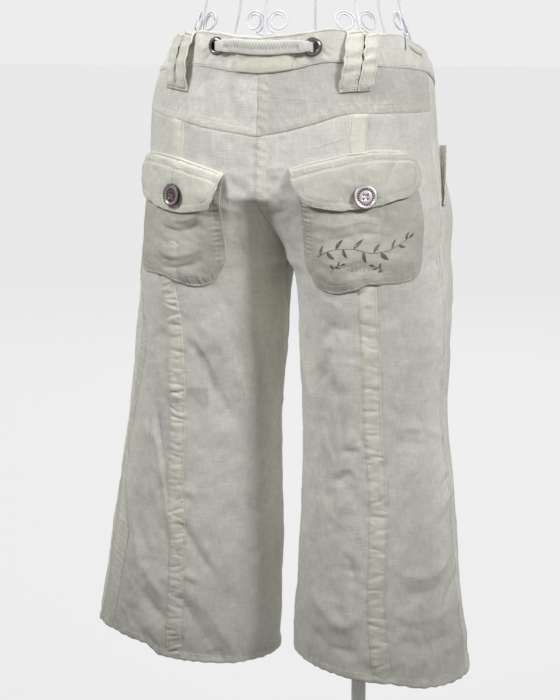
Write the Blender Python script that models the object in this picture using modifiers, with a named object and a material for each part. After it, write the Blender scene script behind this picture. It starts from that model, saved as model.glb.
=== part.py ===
"""Capri pants in linen, filled out on a white scroll-wire dress form with a pole and a round base.

Metres, +Z up. The garment's front faces -Y and its back +Y; its left side is at +X. The origin is on the ground under the middle of the garment.
The cloth is one parametric surface for each half: a table of pelvis sections, a table of leg sections and the crotch curve give a closed loop at every height, and every sewn piece is a patch of that surface, moved out by its own lift and thickened.
"""

import math

import bmesh
import bpy
import numpy as np
from mathutils import Matrix, Vector

for old in list(bpy.data.objects):
    bpy.data.objects.remove(old, do_unlink=True)

# ---------------------------------------------------------------- driving sizes
GAP = 0.0004  # between pieces at a seam
WALL = 0.0013  # one layer of linen, washed
BAND_WALL = 0.0024  # waistband, two layers and its turnings
FLAP_WALL = 0.0022
LOOP_WALL = 0.0018
POCKET_WALL = 0.0013
STRIP_WALL = 0.0011
TIE_WALL = 0.0016
LABEL_WALL = 0.0010

Z_CROTCH = 0.6465  # height of the crotch point above the ground
Z_SEAT = 0.711  # where the crotch curve has reached the seat
STRIP_WIDE = 0.0185  # applied band down the middle of each back leg
LOOP_WIDE = 0.0180
LOOP_LONG = 0.0640
EYELET_OUT = 0.0091  # outer radius
EYELET_TUBE = 0.0017
EYELET_HOLE = 0.0056
BUTTON_R = 0.0122
TIE_WIDE = 0.0122
WELT_WIDE = 0.0105
WELT_TOP, WELT_FOOT = -0.0105, 0.0180  # the side pocket's mouth, from the widest line

WIRE_R = 0.00125  # ribs of the dress form
HOOP_R = 0.00150
SCROLL_R = 0.00095
POLE_R = 0.0080
POLE_X = -0.0800  # the pole comes down inside the right leg
POLE_Y = 0.0180
BASE_R = 0.1650
BASE_H = 0.0140
FORM_LOW = 0.7300  # lowest hoop of the dress form
FORM_HIGH = 0.8050  # hoop that the upper pair of bars holds
FORM_WAIST = 0.9650
FORM_TOP = 1.4100

# pelvis: height, half width, depth behind, depth in front, squareness of the oval behind and in front
PELVIS = {
    1: (
        (0.895, 0.1250, 0.1120, 0.0890, 2.10, 2.10),
        (0.877, 0.1340, 0.1120, 0.0930, 2.12, 2.12),
        (0.857, 0.1435, 0.1120, 0.0965, 2.16, 2.14),
        (0.837, 0.1550, 0.1125, 0.0990, 2.20, 2.18),
        (0.822, 0.1600, 0.1140, 0.1005, 2.25, 2.20),
        (0.809, 0.1612, 0.1155, 0.1010, 2.30, 2.20),
        (0.787, 0.1615, 0.1180, 0.1020, 2.35, 2.20),
        (0.755, 0.1630, 0.1210, 0.1030, 2.35, 2.25),
        (0.722, 0.1655, 0.1235, 0.1030, 2.35, 2.30),
        (0.678, 0.1675, 0.1240, 0.1010, 2.35, 2.30),
        (0.640, 0.1690, 0.1240, 0.1000, 2.35, 2.30),
    ),
    -1: (
        (0.895, 0.1235, 0.1120, 0.0890, 2.10, 2.10),
        (0.877, 0.1315, 0.1120, 0.0930, 2.12, 2.05),
        (0.857, 0.1405, 0.1120, 0.0965, 2.16, 2.05),
        (0.837, 0.1475, 0.1125, 0.0990, 2.20, 2.05),
        (0.822, 0.1490, 0.1140, 0.1000, 2.25, 2.05),
        (0.809, 0.1500, 0.1155, 0.1010, 2.30, 2.05),
        (0.787, 0.1515, 0.1180, 0.1020, 2.35, 2.08),
        (0.755, 0.1555, 0.1210, 0.1030, 2.35, 2.10),
        (0.722, 0.1630, 0.1235, 0.1030, 2.40, 2.20),
        (0.678, 0.1735, 0.1240, 0.1010, 2.40, 2.30),
        (0.640, 0.1765, 0.1240, 0.1000, 2.40, 2.35),
    ),
}
# legs: height, inner edge, width, depth behind, depth in front, middle y, share of the loop that the leg is turned
LEG = {
    1: (
        (0.720, 0.0014, 0.1620, 0.1010, 0.1180, 0.0180, 0.000),
        (0.660, 0.0014, 0.1630, 0.1010, 0.1160, 0.0180, 0.000),
        (0.6465, 0.0014, 0.1645, 0.1005, 0.1150, 0.0180, 0.000),
        (0.632, 0.0085, 0.1590, 0.1000, 0.1130, 0.0185, 0.004),
        (0.600, 0.0120, 0.1580, 0.0970, 0.1080, 0.0195, 0.020),
        (0.542, 0.0145, 0.1640, 0.0920, 0.0990, 0.0210, 0.050),
        (0.466, 0.0180, 0.1700, 0.0870, 0.0890, 0.0220, 0.066),
        (0.380, 0.0176, 0.1836, 0.0850, 0.0850, 0.0220, 0.070),
        (0.317, 0.0155, 0.1976, 0.0860, 0.0850, 0.0220, 0.073),
        (0.253, 0.0160, 0.2100, 0.0870, 0.0860, 0.0220, 0.076),
        (0.180, 0.0150, 0.2260, 0.0880, 0.0870, 0.0220, 0.078),
    ),
    -1: (
        (0.720, 0.0014, 0.1640, 0.1010, 0.1180, 0.0180, 0.000),
        (0.660, 0.0014, 0.1690, 0.1010, 0.1160, 0.0180, 0.000),
        (0.6465, 0.0014, 0.1705, 0.1005, 0.1150, 0.0180, 0.000),
        (0.632, 0.0110, 0.1625, 0.1000, 0.1130, 0.0185, 0.000),
        (0.600, 0.0165, 0.1585, 0.0970, 0.1080, 0.0195, 0.000),
        (0.554, 0.0190, 0.1560, 0.0930, 0.1000, 0.0210, 0.000),
        (0.481, 0.0230, 0.1500, 0.0890, 0.0910, 0.0220, 0.000),
        (0.400, 0.0205, 0.1620, 0.0870, 0.0870, 0.0220, 0.000),
        (0.339, 0.0172, 0.1710, 0.0890, 0.0880, 0.0220, 0.000),
        (0.279, 0.0138, 0.1790, 0.0920, 0.0900, 0.0220, 0.000),
        (0.180, 0.0080, 0.2040, 0.0960, 0.0930, 0.0220, 0.000),
    ),
}
# crotch seam: height, y of its back half, y of its front half
CROTCH = (
    (0.6465, 0.0170, 0.0165),
    (0.6500, 0.0215, 0.0080),
    (0.6560, 0.0290, -0.0060),
    (0.6650, 0.0470, -0.0260),
    (0.6760, 0.0690, -0.0460),
    (0.6870, 0.0880, -0.0620),
    (0.6980, 0.1060, -0.0780),
    (0.7110, 0.1235, -0.1000),
)
# edges that run round the garment: distance from the centre back, height on the left half, height on the right half
BAND_TOP = (
    (0.000, 0.8770, 0.8770),
    (0.030, 0.8785, 0.8790),
    (0.055, 0.8815, 0.8815),
    (0.085, 0.8830, 0.8850),
    (0.110, 0.8820, 0.8825),
    (0.128, 0.8790, 0.8785),
    (0.160, 0.8765, 0.8795),
    (0.200, 0.8700, 0.8700),
    (0.260, 0.8540, 0.8540),
    (0.320, 0.8420, 0.8420),
    (0.400, 0.8370, 0.8370),
)
BAND_FOOT = (
    (0.000, 0.8380, 0.8380),
    (0.030, 0.8405, 0.8415),
    (0.080, 0.8460, 0.8505),
    (0.125, 0.8440, 0.8465),
    (0.200, 0.8370, 0.8405),
    (0.260, 0.8180, 0.8180),
    (0.330, 0.8020, 0.8020),
    (0.420, 0.7970, 0.7970),
)
YOKE_FOOT = (
    (0.000, 0.7742, 0.7742),
    (0.030, 0.7785, 0.7800),
    (0.057, 0.7820, 0.7870),
    (0.098, 0.7895, 0.7980),
    (0.130, 0.7945, 0.7985),
    (0.170, 0.7985, 0.7985),
    (0.240, 0.8000, 0.7985),
)
# hem: share of the way from the outseam to the inseam, left back, left front, right back, right front
HEM = (
    (0.00, 0.2180, 0.2160, 0.1950, 0.1960),
    (0.12, 0.2160, 0.2060, 0.1935, 0.1960),
    (0.25, 0.2125, 0.1960, 0.1945, 0.1945),
    (0.36, 0.2030, 0.1930, 0.2010, 0.1930),
    (0.48, 0.1940, 0.1925, 0.2030, 0.1940),
    (0.65, 0.1900, 0.1935, 0.2080, 0.1960),
    (0.83, 0.1905, 0.1945, 0.2110, 0.1990),
    (1.00, 0.1910, 0.1910, 0.2040, 0.2040),
)
# outseam: height, how far it lies behind the widest line on the left half and on the right half
OUTSEAM = (
    (0.895, 0.0040, 0.0040),
    (0.800, 0.0090, 0.0070),
    (0.766, 0.0150, 0.0110),
    (0.733, 0.0240, 0.0165),
    (0.700, 0.0340, 0.0200),
    (0.660, 0.0450, 0.0170),
    (0.600, 0.0530, 0.0060),
    (0.565, 0.0530, 0.0020),
    (0.534, 0.0470, 0.0000),
    (0.500, 0.0370, 0.0000),
    (0.460, 0.0215, 0.0000),
    (0.430, 0.0140, 0.0000),
    (0.390, 0.0115, 0.0000),
    (0.260, 0.0110, 0.0000),
    (0.220, 0.0060, 0.0000),
    (0.180, 0.0000, 0.0000),
)
# strip down the back leg: height, distance of its middle from the widest line, left and right
STRIP = (
    (0.800, 0.1260, 0.1100),
    (0.763, 0.1320, 0.1160),
    (0.700, 0.1300, 0.1165),
    (0.620, 0.1205, 0.1150),
    (0.530, 0.1080, 0.1065),
    (0.457, 0.1060, 0.1015),
    (0.400, 0.1075, 0.1030),
    (0.335, 0.1180, 0.1090),
    (0.234, 0.1300, 0.1175),
    (0.180, 0.1345, 0.1220),
)
# pocket flap: share of the way from its inner to its outer end, top edge, bottom edge
FLAP = (
    (0.00, 0.7430, 0.7270),
    (0.05, 0.7450, 0.7095),
    (0.16, 0.7493, 0.7033),
    (0.32, 0.7542, 0.7000),
    (0.50, 0.7592, 0.7025),
    (0.70, 0.7618, 0.7090),
    (0.88, 0.7610, 0.7165),
    (0.96, 0.7592, 0.7260),
    (1.00, 0.7550, 0.7400),
)
# patch pocket: share across, bottom edge
POCKET = (
    (0.00, 0.6480),
    (0.03, 0.6340),
    (0.12, 0.6195),
    (0.25, 0.6155),
    (0.40, 0.6200),
    (0.52, 0.6265),
    (0.72, 0.6265),
    (0.86, 0.6285),
    (0.95, 0.6360),
    (1.00, 0.6480),
)
FLAP_DROP = {1: -0.0070, -1: 0.0}  # the left flap sits a little lower
POCKET_IN = {1: (0.1990, 0.1860), -1: (0.1915, 0.1830)}  # inner edge from the widest line, at the top and at the bottom
POCKET_OUT = {1: (0.0640, 0.0540), -1: (0.0590, 0.0460)}  # outer edge
FLAP_GAPE = 0.0012  # how far the outer end of a flap's lower edge stands off
FLAP_OVER = 0.055  # share by which the flap reaches past the pocket at its outer end
BUTTON_AT = {1: (0.1410, 0.7118), -1: (0.1200, 0.7152)}  # from the widest line, height
EYELET_AT = {1: (0.0500, 0.8672), -1: (0.0565, 0.8662)}  # from the centre back, height
# belt loops: distance from the centre back, or minus that from the centre front, at the top, at the bottom, top height, bottom height, how far the middle stands off
LOOPS = {
    "belt_loop_back_left_inner": (1, 0.0930, 0.0880, 0.8815, 0.8205, 0.0024),
    "belt_loop_back_left_outer": (1, 0.1150, 0.1100, 0.8795, 0.8225, 0.0024),
    "belt_loop_back_right_inner": (-1, 0.0995, 0.0930, 0.8825, 0.8205, 0.0024),
    "belt_loop_back_right_outer": (-1, 0.1205, 0.1135, 0.8785, 0.8215, 0.0024),
    "belt_loop_front_left": (1, -0.0900, -0.0900, 0.8440, 0.7830, 0.0022),
    "belt_loop_front_right": (-1, -0.0900, -0.0900, 0.8440, 0.7830, 0.0022),
}
LOOP_WIDTHS = {"belt_loop_back_right_outer": 0.0155}

# dress form: height, half width, depth behind, depth in front
FORM = (
    (0.730, 0.1480, 0.1040, 0.0860),
    (0.800, 0.1430, 0.1000, 0.0860),
    (0.840, 0.1370, 0.0985, 0.0850),
    (0.877, 0.1235, 0.0985, 0.0840),
    (0.910, 0.1120, 0.0930, 0.0800),
    (0.965, 0.1040, 0.0850, 0.0780),
    (1.030, 0.1120, 0.0850, 0.0880),
    (1.110, 0.1330, 0.0900, 0.1080),
    (1.170, 0.1430, 0.0940, 0.1180),
    (1.240, 0.1520, 0.0960, 0.1080),
    (1.300, 0.1580, 0.0930, 0.0850),
    (1.340, 0.1400, 0.0800, 0.0660),
    (1.365, 0.1020, 0.0640, 0.0540),
    (1.385, 0.0700, 0.0540, 0.0500),
    (1.410, 0.0560, 0.0500, 0.0480),
)
RIB_AT = (0.0, 47.0, 93.0, 127.0, 174.0, -142.0, -95.0, -50.0)  # degrees round from the centre back towards the left
SCROLL_ON = (0.0, 47.0, 93.0, -95.0, -50.0)
SCROLL_Z = 0.8800
SCROLL_SIZE = 0.0118

CLOTH_COLOUR = (0.66, 0.67, 0.63, 1.0)
CREAM = (0.72, 0.71, 0.62, 1.0)


# ---------------------------------------------------------------- the cloth surface
def table(rows, at):
    """The columns of a table at the values `at` of its first column, by a monotone cubic."""
    a = np.array(sorted(rows), float)
    x, y = a[:, 0], a[:, 1:]
    at = np.clip(np.asarray(at, float), x[0], x[-1])
    d = np.diff(y, axis=0) / np.diff(x)[:, None]
    m = np.zeros_like(y)
    m[0], m[-1] = d[0], d[-1]
    same = d[:-1] * d[1:] > 0
    m[1:-1] = np.where(same, 2 * d[:-1] * d[1:] / np.where(same, d[:-1] + d[1:], 1), 0)
    i = np.clip(np.searchsorted(x, at, side="right") - 1, 0, len(x) - 2)
    h = (x[i + 1] - x[i])[..., None]
    t = (at - x[i])[..., None] / h
    return (
        (2 * t**3 - 3 * t**2 + 1) * y[i]
        + (t**3 - 2 * t**2 + t) * h * m[i]
        + (3 * t**2 - 2 * t**3) * y[i + 1]
        + (t**3 - t**2) * h * m[i + 1]
    )


def power(v, p):
    return np.sign(v) * np.abs(v) ** p


def sections(side, z, n=481):
    """One half of the garment at heights z, each row from the centre back or inseam, round the outseam, to the front."""
    z = np.asarray(z, float)
    p = np.linspace(0, 1, n)[None, :]
    half, behind, front, sq_b, sq_f = (c[:, None] for c in table(PELVIS[side], z).T)
    inner, wide, leg_b, leg_f, mid, turn = (c[:, None] for c in table(LEG[side], z).T)
    seam_b, seam_f = (c[:, None] for c in table(CROTCH, z).T)
    # the pelvis is walked slowly near the seams, so that its points lie behind and before the leg's
    even = np.where(p <= 0.5, 0.5 * (2 * p) ** 1.9, 1 - 0.5 * (2 * (1 - p)) ** 1.9)
    c, s = np.cos(np.pi * even), np.sin(np.pi * even)
    square = np.where(c > 0, sq_b, sq_f)
    px = half * power(s, 2 / square) + GAP / 2
    py = np.where(c > 0, behind, front) * power(c, 2 / square)
    around = 2 * np.pi * (p - turn)
    lx = inner + wide / 2 - wide / 2 * np.cos(around)
    ly = mid + np.where(np.sin(around) > 0, leg_b, leg_f) * np.sin(around)
    zz = z[:, None]
    w_b = np.clip((seam_b - mid) / (0.1235 - mid), 0, 1)
    w_f = np.clip((mid - seam_f) / (mid + 0.1000), 0, 1)
    w_b = np.where(zz >= Z_SEAT, 1, np.where(zz <= Z_CROTCH, 0, w_b))
    w_f = np.where(zz >= Z_SEAT, 1, np.where(zz <= Z_CROTCH, 0, w_f))
    w = w_b * (1 - p) + w_f * p
    return np.stack(
        [side * ((1 - w) * lx + w * px), (1 - w) * ly + w * py, zz + 0 * p], -1
    )


class Half:
    """The surface of one half, read by height and by distance along the cloth from the outseam, positive to the back."""

    def __init__(self, side, low=0.176, high=0.895, step=0.0015, n=401):
        self.side, self.low, self.step = side, low, step
        self.z = np.arange(low, high + step / 2, step)
        raw = sections(side, self.z)
        seg = np.linalg.norm(np.diff(raw, axis=1), axis=2)
        run = np.concatenate([np.zeros((len(self.z), 1)), np.cumsum(seg, 1)], 1)
        k = (raw.shape[1] - 1) // 2
        self.back, self.front = run[:, k], run[:, -1] - run[:, k]
        h = (n - 1) // 2
        rows = []
        for r, u in zip(raw, run):
            s = np.concatenate(
                [np.linspace(0, u[k], h + 1), np.linspace(u[k], u[-1], h + 1)[1:]]
            )
            rows.append(np.stack([np.interp(s, u, r[:, j]) for j in range(3)], 1))
        self.grid, self.h = np.array(rows), h
        du = np.gradient(self.grid, axis=1)
        dv = np.gradient(self.grid, axis=0)
        nrm = np.cross(du, dv) * -side
        nrm /= np.maximum(np.linalg.norm(nrm, axis=2, keepdims=True), 1e-12)
        self.normal = nrm

    def length(self, z):
        """Cloth from the outseam to the back edge, and to the front edge, at heights z."""
        return np.interp(z, self.z, self.back), np.interp(z, self.z, self.front)

    def at(self, s, z, lift=0.0):
        s, z = np.broadcast_arrays(np.asarray(s, float), np.asarray(z, float))
        b, f = self.length(z)
        share = np.where(s >= 0, 1 - s / b, 1 - s / f)  # 0 back edge, 1 outseam, 2 front edge
        i = np.clip((z - self.low) / self.step, 0, len(self.z) - 1.001)
        j = np.clip(share * self.h, 0, 2 * self.h - 0.001)
        i0, j0 = i.astype(int), j.astype(int)
        a, c = (i - i0)[..., None], (j - j0)[..., None]

        def mix(g):
            return (1 - a) * ((1 - c) * g[i0, j0] + c * g[i0, j0 + 1]) + a * (
                (1 - c) * g[i0 + 1, j0] + c * g[i0 + 1, j0 + 1]
            )

        nrm = mix(self.normal)
        nrm /= np.linalg.norm(nrm, axis=-1, keepdims=True)
        return mix(self.grid) + nrm * np.asarray(lift, float)[..., None], nrm


HALF = {1: Half(1), -1: Half(-1)}


def round_at(q, z, lift=0.0):
    """A point by its distance q from the centre back along the cloth, positive round the left side; past the centre front it goes on to the other half."""
    q, z, lift = np.broadcast_arrays(
        np.asarray(q, float), np.asarray(z, float), np.asarray(lift, float)
    )
    lb, lf = HALF[1].length(z)
    rb, rf = HALF[-1].length(z)
    over = q > lb + lf
    side = np.where((q >= 0) & ~over, 1, -1)
    back = np.where(side > 0, lb, rb)
    from_back = np.where(over, (rb + rf) - (q - lb - lf), np.abs(q))
    s = back - from_back
    out, nrm = np.zeros(q.shape + (3,)), np.zeros(q.shape + (3,))
    for k in (1, -1):
        m = side == k
        if m.any():
            out[m], nrm[m] = HALF[k].at(s[m], z[m], lift[m])
    return out, nrm


def edge(rows, side, q):
    return table(rows, np.abs(q))[..., 0 if side > 0 else 1]


# ---------------------------------------------------------------- makers
def material(name, colour, roughness=0.85, metallic=0.0):
    m = bpy.data.materials.new(name)
    m.use_nodes = True
    b = m.node_tree.nodes["Principled BSDF"]
    b.inputs["Base Color"].default_value = colour
    b.inputs["Roughness"].default_value = roughness
    b.inputs["Metallic"].default_value = metallic
    return m


parts = bpy.data.collections.new("capri_pants_on_wire_dress_form")
cutters = bpy.data.collections.new("cutters")
bpy.context.scene.collection.children.link(parts)
bpy.context.scene.collection.children.link(cutters)


def add(name, mesh, mat, collection=None):
    o = bpy.data.objects.new(name, mesh)
    (collection or parts).objects.link(o)
    if mat:
        mesh.materials.append(mat)
    return o


def shell(name, points, wall, mat, offset=0.0, flip=False):
    """An open surface through a grid of points, thickened."""
    rows, cols = points.shape[:2]
    faces = []
    for i in range(rows - 1):
        for j in range(cols - 1):
            a = i * cols + j
            f = (a, a + 1, a + cols + 1, a + cols)
            faces.append(f[::-1] if flip else f)
    me = bpy.data.meshes.new(name)
    me.from_pydata([tuple(p) for p in points.reshape(-1, 3)], [], faces)
    me.update()
    me.shade_smooth()
    o = add(name, me, mat)
    sol = o.modifiers.new("cloth thickness", "SOLIDIFY")
    sol.thickness = wall
    sol.offset = offset
    return o


def faces_out(points, normals):
    """Whether the grid's faces need turning to look the way the normals do."""
    i, j = points.shape[0] // 2, points.shape[1] // 2
    i, j = min(i, points.shape[0] - 2), min(j, points.shape[1] - 2)
    a, b, c = points[i, j], points[i, j + 1], points[i + 1, j]
    return np.dot(np.cross(b - a, c - a), normals[i, j]) < 0


def half_patch(name, side, s, z, lift, wall, mat, offset=0.0):
    p, n = HALF[side].at(s, z, lift)
    return shell(name, p, wall, mat, offset, faces_out(p, n))


def round_patch(name, q, z, lift, wall, mat, offset=0.0):
    p, n = round_at(q, z, lift)
    return shell(name, p, wall, mat, offset, faces_out(p, n))


def turned(name, profile, steps, mat, collection=None):
    """A profile of (radius, height) turned about Z; its first and last points are on the axis."""
    me = bpy.data.meshes.new(name)
    me.from_pydata(
        [(r, 0.0, h) for r, h in profile], [(i, i + 1) for i in range(len(profile) - 1)], []
    )
    o = add(name, me, mat, collection)
    sc = o.modifiers.new("turn", "SCREW")
    sc.steps = sc.render_steps = steps
    sc.use_merge_vertices = True
    sc.merge_threshold = 0.00001
    sc.use_smooth_shade = True
    return o


def wire(name, points, radius, mat, closed=False, resolution=2):
    cu = bpy.data.curves.new(name, "CURVE")
    cu.dimensions = "3D"
    cu.bevel_depth = radius
    cu.bevel_resolution = resolution
    cu.use_fill_caps = not closed
    sp = cu.splines.new("POLY")
    sp.points.add(len(points) - 1)
    for k, p in enumerate(points):
        sp.points[k].co = (p[0], p[1], p[2], 1.0)
    sp.use_cyclic_u = closed
    o = bpy.data.objects.new(name, cu)
    parts.objects.link(o)
    cu.materials.append(mat)
    return o


def facing(point, normal, up=(0, 0, 1)):
    """A matrix that puts an object's Z along the normal at the point."""
    n = Vector(normal).normalized()
    x = Vector(up).cross(n).normalized()
    y = n.cross(x)
    m = Matrix((x, y, n)).transposed().to_4x4()
    m.translation = Vector(point)
    return m


def cutter(name, mesh_maker, matrix):
    me = bpy.data.meshes.new(name)
    bm = bmesh.new()
    mesh_maker(bm)
    bm.to_mesh(me)
    bm.free()
    o = add(name, me, None, cutters)
    o.matrix_world = matrix
    o.hide_render = True
    o.display_type = "WIRE"
    return o


def cut(target, tool):
    b = target.modifiers.new("cut", "BOOLEAN")
    b.operation = "DIFFERENCE"
    b.solver = "EXACT"
    b.object = tool


# ---------------------------------------------------------------- legs
linen = material("linen_offwhite", CLOTH_COLOUR)
cream = material("linen_cream", CREAM)


def heights(top, foot, shares):
    """Rows between two edges. Above the seat they follow the top edge, below it they are level until the hem."""
    top, foot = np.asarray(top), np.asarray(foot)
    level = 0.715
    rows = []
    for t in shares:
        if t <= 0:  # -1 is the top edge and 0 the seat level
            rows.append(level + (top - level) * -t)
        elif t <= 1:
            rows.append(np.full_like(top, level + (Z_CROTCH - level) * t))
        else:
            rows.append(Z_CROTCH + (foot - Z_CROTCH) * (t - 1))
    return np.array(rows)


def across_panel(side, back, z, u):
    """Distance from the widest line at heights z, at shares u of the way from the outseam to the other edge of a panel."""
    b, f = HALF[side].length(z)
    k = table(OUTSEAM, z)[..., 0 if side > 0 else 1]
    return k + (b - k) * u if back else k - (f + k) * u


def columns(side, back, u):
    """Distance from the centre back, for reading the edge tables, of the columns at shares u from the outseam."""
    return float(HALF[side].length(0.80)[0]) - across_panel(side, back, 0.80, u)


ROWS = (-1, -0.66, -0.33, 0, 0.12, 0.32, 0.52, 0.72, 0.90, 1.0, 1.03, 1.07, 1.13, 1.21, 1.31, 1.42, 1.54, 1.66, 1.77, 1.88, 2.0)
COLUMNS = 11


def leg_panel(name, side, back):
    """A back or front leg: columns run from the outseam to the crotch seam and inseam."""
    u = np.linspace(0, 1, COLUMNS)
    top = edge(YOKE_FOOT if back else BAND_FOOT, side, columns(side, back, u)) - GAP
    col = 1 + (0 if side > 0 else 2) + (0 if back else 1)
    foot = table(HEM, u)[..., col - 1]
    z = heights(top, foot, ROWS)
    s = across_panel(side, back, z, u[None, :])
    s = s + (0.8 * GAP if back else -0.8 * GAP) * (1 - u[None, :])
    # the inseam keeps its gap below the crotch
    end = (z <= Z_CROTCH + 1e-6) & (u[None, :] > 0.999)
    s = np.where(end, s - math.copysign(GAP / 2, 1 if back else -1), s)
    half_patch(name, side, s, z, 0.0 * z, WALL, linen)


for side, word in ((1, "left"), (-1, "right")):
    leg_panel(f"back_leg_{word}", side, True)
    leg_panel(f"front_leg_{word}", side, False)

# ---------------------------------------------------------------- yokes
for side, word in ((1, "left"), (-1, "right")):
    u = np.linspace(0, 1, COLUMNS)
    v = np.linspace(0, 1, 4)[:, None]
    q = columns(side, True, u)
    band, foot = edge(BAND_FOOT, side, q) - GAP, edge(YOKE_FOOT, side, q)
    z = band + v * (foot - band)
    s = across_panel(side, True, z, u) + GAP / 2 * (1 - u)
    half_patch(f"yoke_{word}", side, s, z, 0 * z, WALL, linen)

# ---------------------------------------------------------------- waistband, with the holes of its two eyelets
OVERLAP = 0.032  # the left end lies over the right end at the centre front
u = np.linspace(0, 1, COLUMNS)
v = np.linspace(0, 1, 3)[:, None]
strips = []  # from the right end at the centre front, round the back, to the left end
for side, back, us in ((-1, False, u[::-1]), (-1, True, u[1:]), (1, True, u[-2::-1]), (1, False, u[1:])):
    q = columns(side, back, us)
    low, high = edge(BAND_FOOT, side, q), edge(BAND_TOP, side, q)
    z = low + (high - low) * v
    s = across_panel(side, back, z, us)
    if side < 0 and not back:
        s[:, 0] += 0.0010
    up = np.clip((us - 0.80) / 0.18, 0, 1) * 0.0034 if side > 0 and not back else 0 * us
    strips.append(HALF[side].at(s, z, up + 0 * z))
low, high = edge(BAND_FOOT, -1, 0.395), edge(BAND_TOP, -1, 0.395)
z = low + (high - low) * v
f = HALF[-1].length(z)[1]
strips.append(HALF[-1].at(-f + OVERLAP * np.array([[0.5, 1.0]]), z + np.zeros((1, 2)), 0.0034 + np.zeros((3, 2))))
points = np.concatenate([p for p, _ in strips], 1)
normals = np.concatenate([n for _, n in strips], 1)
waistband = shell("waistband", points, BAND_WALL, linen, 0.0, faces_out(points, normals))


def drill(radius, depth, sides=16):
    def make(bm):
        bmesh.ops.create_cone(
            bm, cap_ends=True, cap_tris=False, segments=sides, radius1=radius, radius2=radius, depth=depth
        )

    return make


brass = material("eyelet_metal", (0.32, 0.26, 0.25, 1.0), 0.3, 1.0)
for side, word in ((1, "left"), (-1, "right")):
    dist, height = EYELET_AT[side]
    p, n = round_at(side * dist, height, 0.0)
    cut(waistband, cutter(f"eyelet_cut_{word}", drill(EYELET_HOLE, 0.02), facing(p, n)))
    # the eyelet is a rolled ring on the outside of the band
    me = bpy.data.meshes.new(f"eyelet_{word}")
    bm = bmesh.new()
    r_mid = EYELET_OUT - EYELET_TUBE
    ring = [
        bm.verts.new((r_mid + EYELET_TUBE * math.cos(a), 0, EYELET_TUBE * math.sin(a)))
        for a in np.linspace(0, 2 * math.pi, 6, endpoint=False)
    ]
    edges = [bm.edges.new((ring[i], ring[(i + 1) % 6])) for i in range(6)]
    bmesh.ops.spin(
        bm, geom=ring + edges, cent=(0, 0, 0), axis=(0, 0, 1), angle=2 * math.pi, steps=20, use_merge=True
    )
    bmesh.ops.remove_doubles(bm, verts=bm.verts, dist=1e-6)
    bmesh.ops.recalc_face_normals(bm, faces=bm.faces)
    bm.to_mesh(me)
    bm.free()
    me.shade_smooth()
    o = add(f"eyelet_{word}", me, brass)
    o.matrix_world = facing(p + n * (BAND_WALL / 2 + 0.0006 + EYELET_TUBE), n)

# ---------------------------------------------------------------- tie band across the back, through both eyelets
# distance from the eyelet's middle towards the centre back, lift, width
TIE_END = (
    (-0.0004, -0.0075, 0.0070),
    (0.0003, -0.0035, 0.0072),
    (0.0014, 0.0012, 0.0074),
    (0.0036, 0.0058, 0.0082),
    (0.0072, 0.0068, 0.0095),
    (0.0110, 0.0062, 0.0108),
    (0.0160, 0.0046, 0.0118),
    (0.0260, 0.0039, 0.0122),
)
ends = {s: EYELET_AT[s] for s in (1, -1)}
rows = []
for d, up, wide in TIE_END:
    rows.append((ends[1][0] - d, ends[1][1], up, wide))
for k in np.linspace(0, 1, 6)[1:-1]:
    a, b = ends[1][0] - TIE_END[-1][0], -ends[-1][0] + TIE_END[-1][0]
    rows.append((a + (b - a) * k, ends[1][1] + (ends[-1][1] - ends[1][1]) * k - 0.0016 * math.sin(math.pi * k), 0.0039, TIE_WIDE))
for d, up, wide in reversed(TIE_END):
    rows.append((-ends[-1][0] + d, ends[-1][1], up, wide))
rows = np.array(rows)
centre, nrm = round_at(rows[:, 0], rows[:, 1], rows[:, 2])
tie = np.stack([centre + np.array([0, 0, 1]) * (rows[:, 3:4] * k) for k in (-0.5, 0.0, 0.5)], 0)
shell("back_tie", tie, TIE_WALL, cream, 0.0, faces_out(tie, np.repeat(nrm[None], 3, 0)))

# ---------------------------------------------------------------- label under the tie, sewn into the band's lower seam
LABEL_Q = (0.0240, -0.0390)
q = np.linspace(LABEL_Q[0], LABEL_Q[1], 9)[None, :]
v = np.linspace(0, 1, 3)[:, None]
foot = np.where(q >= 0, edge(BAND_FOOT, 1, q), edge(BAND_FOOT, -1, q)) + 0.0010
top = 0.8640 + 0 * q
round_patch("back_label", q + 0 * v, foot + (top - foot) * v, 0.0020 + 0 * q * v, LABEL_WALL, cream)

# ---------------------------------------------------------------- belt loops
for name, (side, q_top, q_foot, z_top, z_foot, out) in LOOPS.items():
    wide = LOOP_WIDTHS.get(name, LOOP_WIDE)
    v = np.linspace(0, 1, 9)[:, None]
    across = np.array([-0.5, 0.0, 0.5])[None, :] * wide
    q = q_top + (q_foot - q_top) * v + across
    z = z_top + (z_foot - z_top) * v + 0 * across
    if q_top < 0:
        q = sum(HALF[side].length(z)) + q
    arch = np.sin(np.pi * np.clip((v - 0.02) / 0.93, 0, 1)) ** 0.8
    wave = 0.0005 * np.sin(2 * np.pi * v * 1.5 + (0.6 if side > 0 else 2.2)) * arch
    lift = BAND_WALL / 2 + 0.0008 + LOOP_WALL / 2 + out * arch + wave + 0 * across
    round_patch(name, side * q, z, lift, LOOP_WALL, cream)

# ---------------------------------------------------------------- strips down the back legs
for side, word in ((1, "left"), (-1, "right")):
    col = 0 if side > 0 else 1
    length = float(HALF[side].length(0.80)[0])
    foot_share = 0.45
    top = float(edge(YOKE_FOOT, side, length - 0.118)) - 0.0006
    foot = float(table(HEM, np.array([foot_share]))[0, 0 if side > 0 else 2]) + 0.0012
    z = heights(np.array([top]), np.array([foot]), ROWS)
    across = np.array([-0.5, 0.0, 0.5])[None, :] * STRIP_WIDE
    s = table(STRIP, z[:, 0])[:, col][:, None] + across
    lift = WALL / 2 + 0.0006 + STRIP_WALL / 2 + 0 * s
    half_patch(f"back_strip_{word}", side, s, z + 0 * across, lift, STRIP_WALL, cream)

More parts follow.
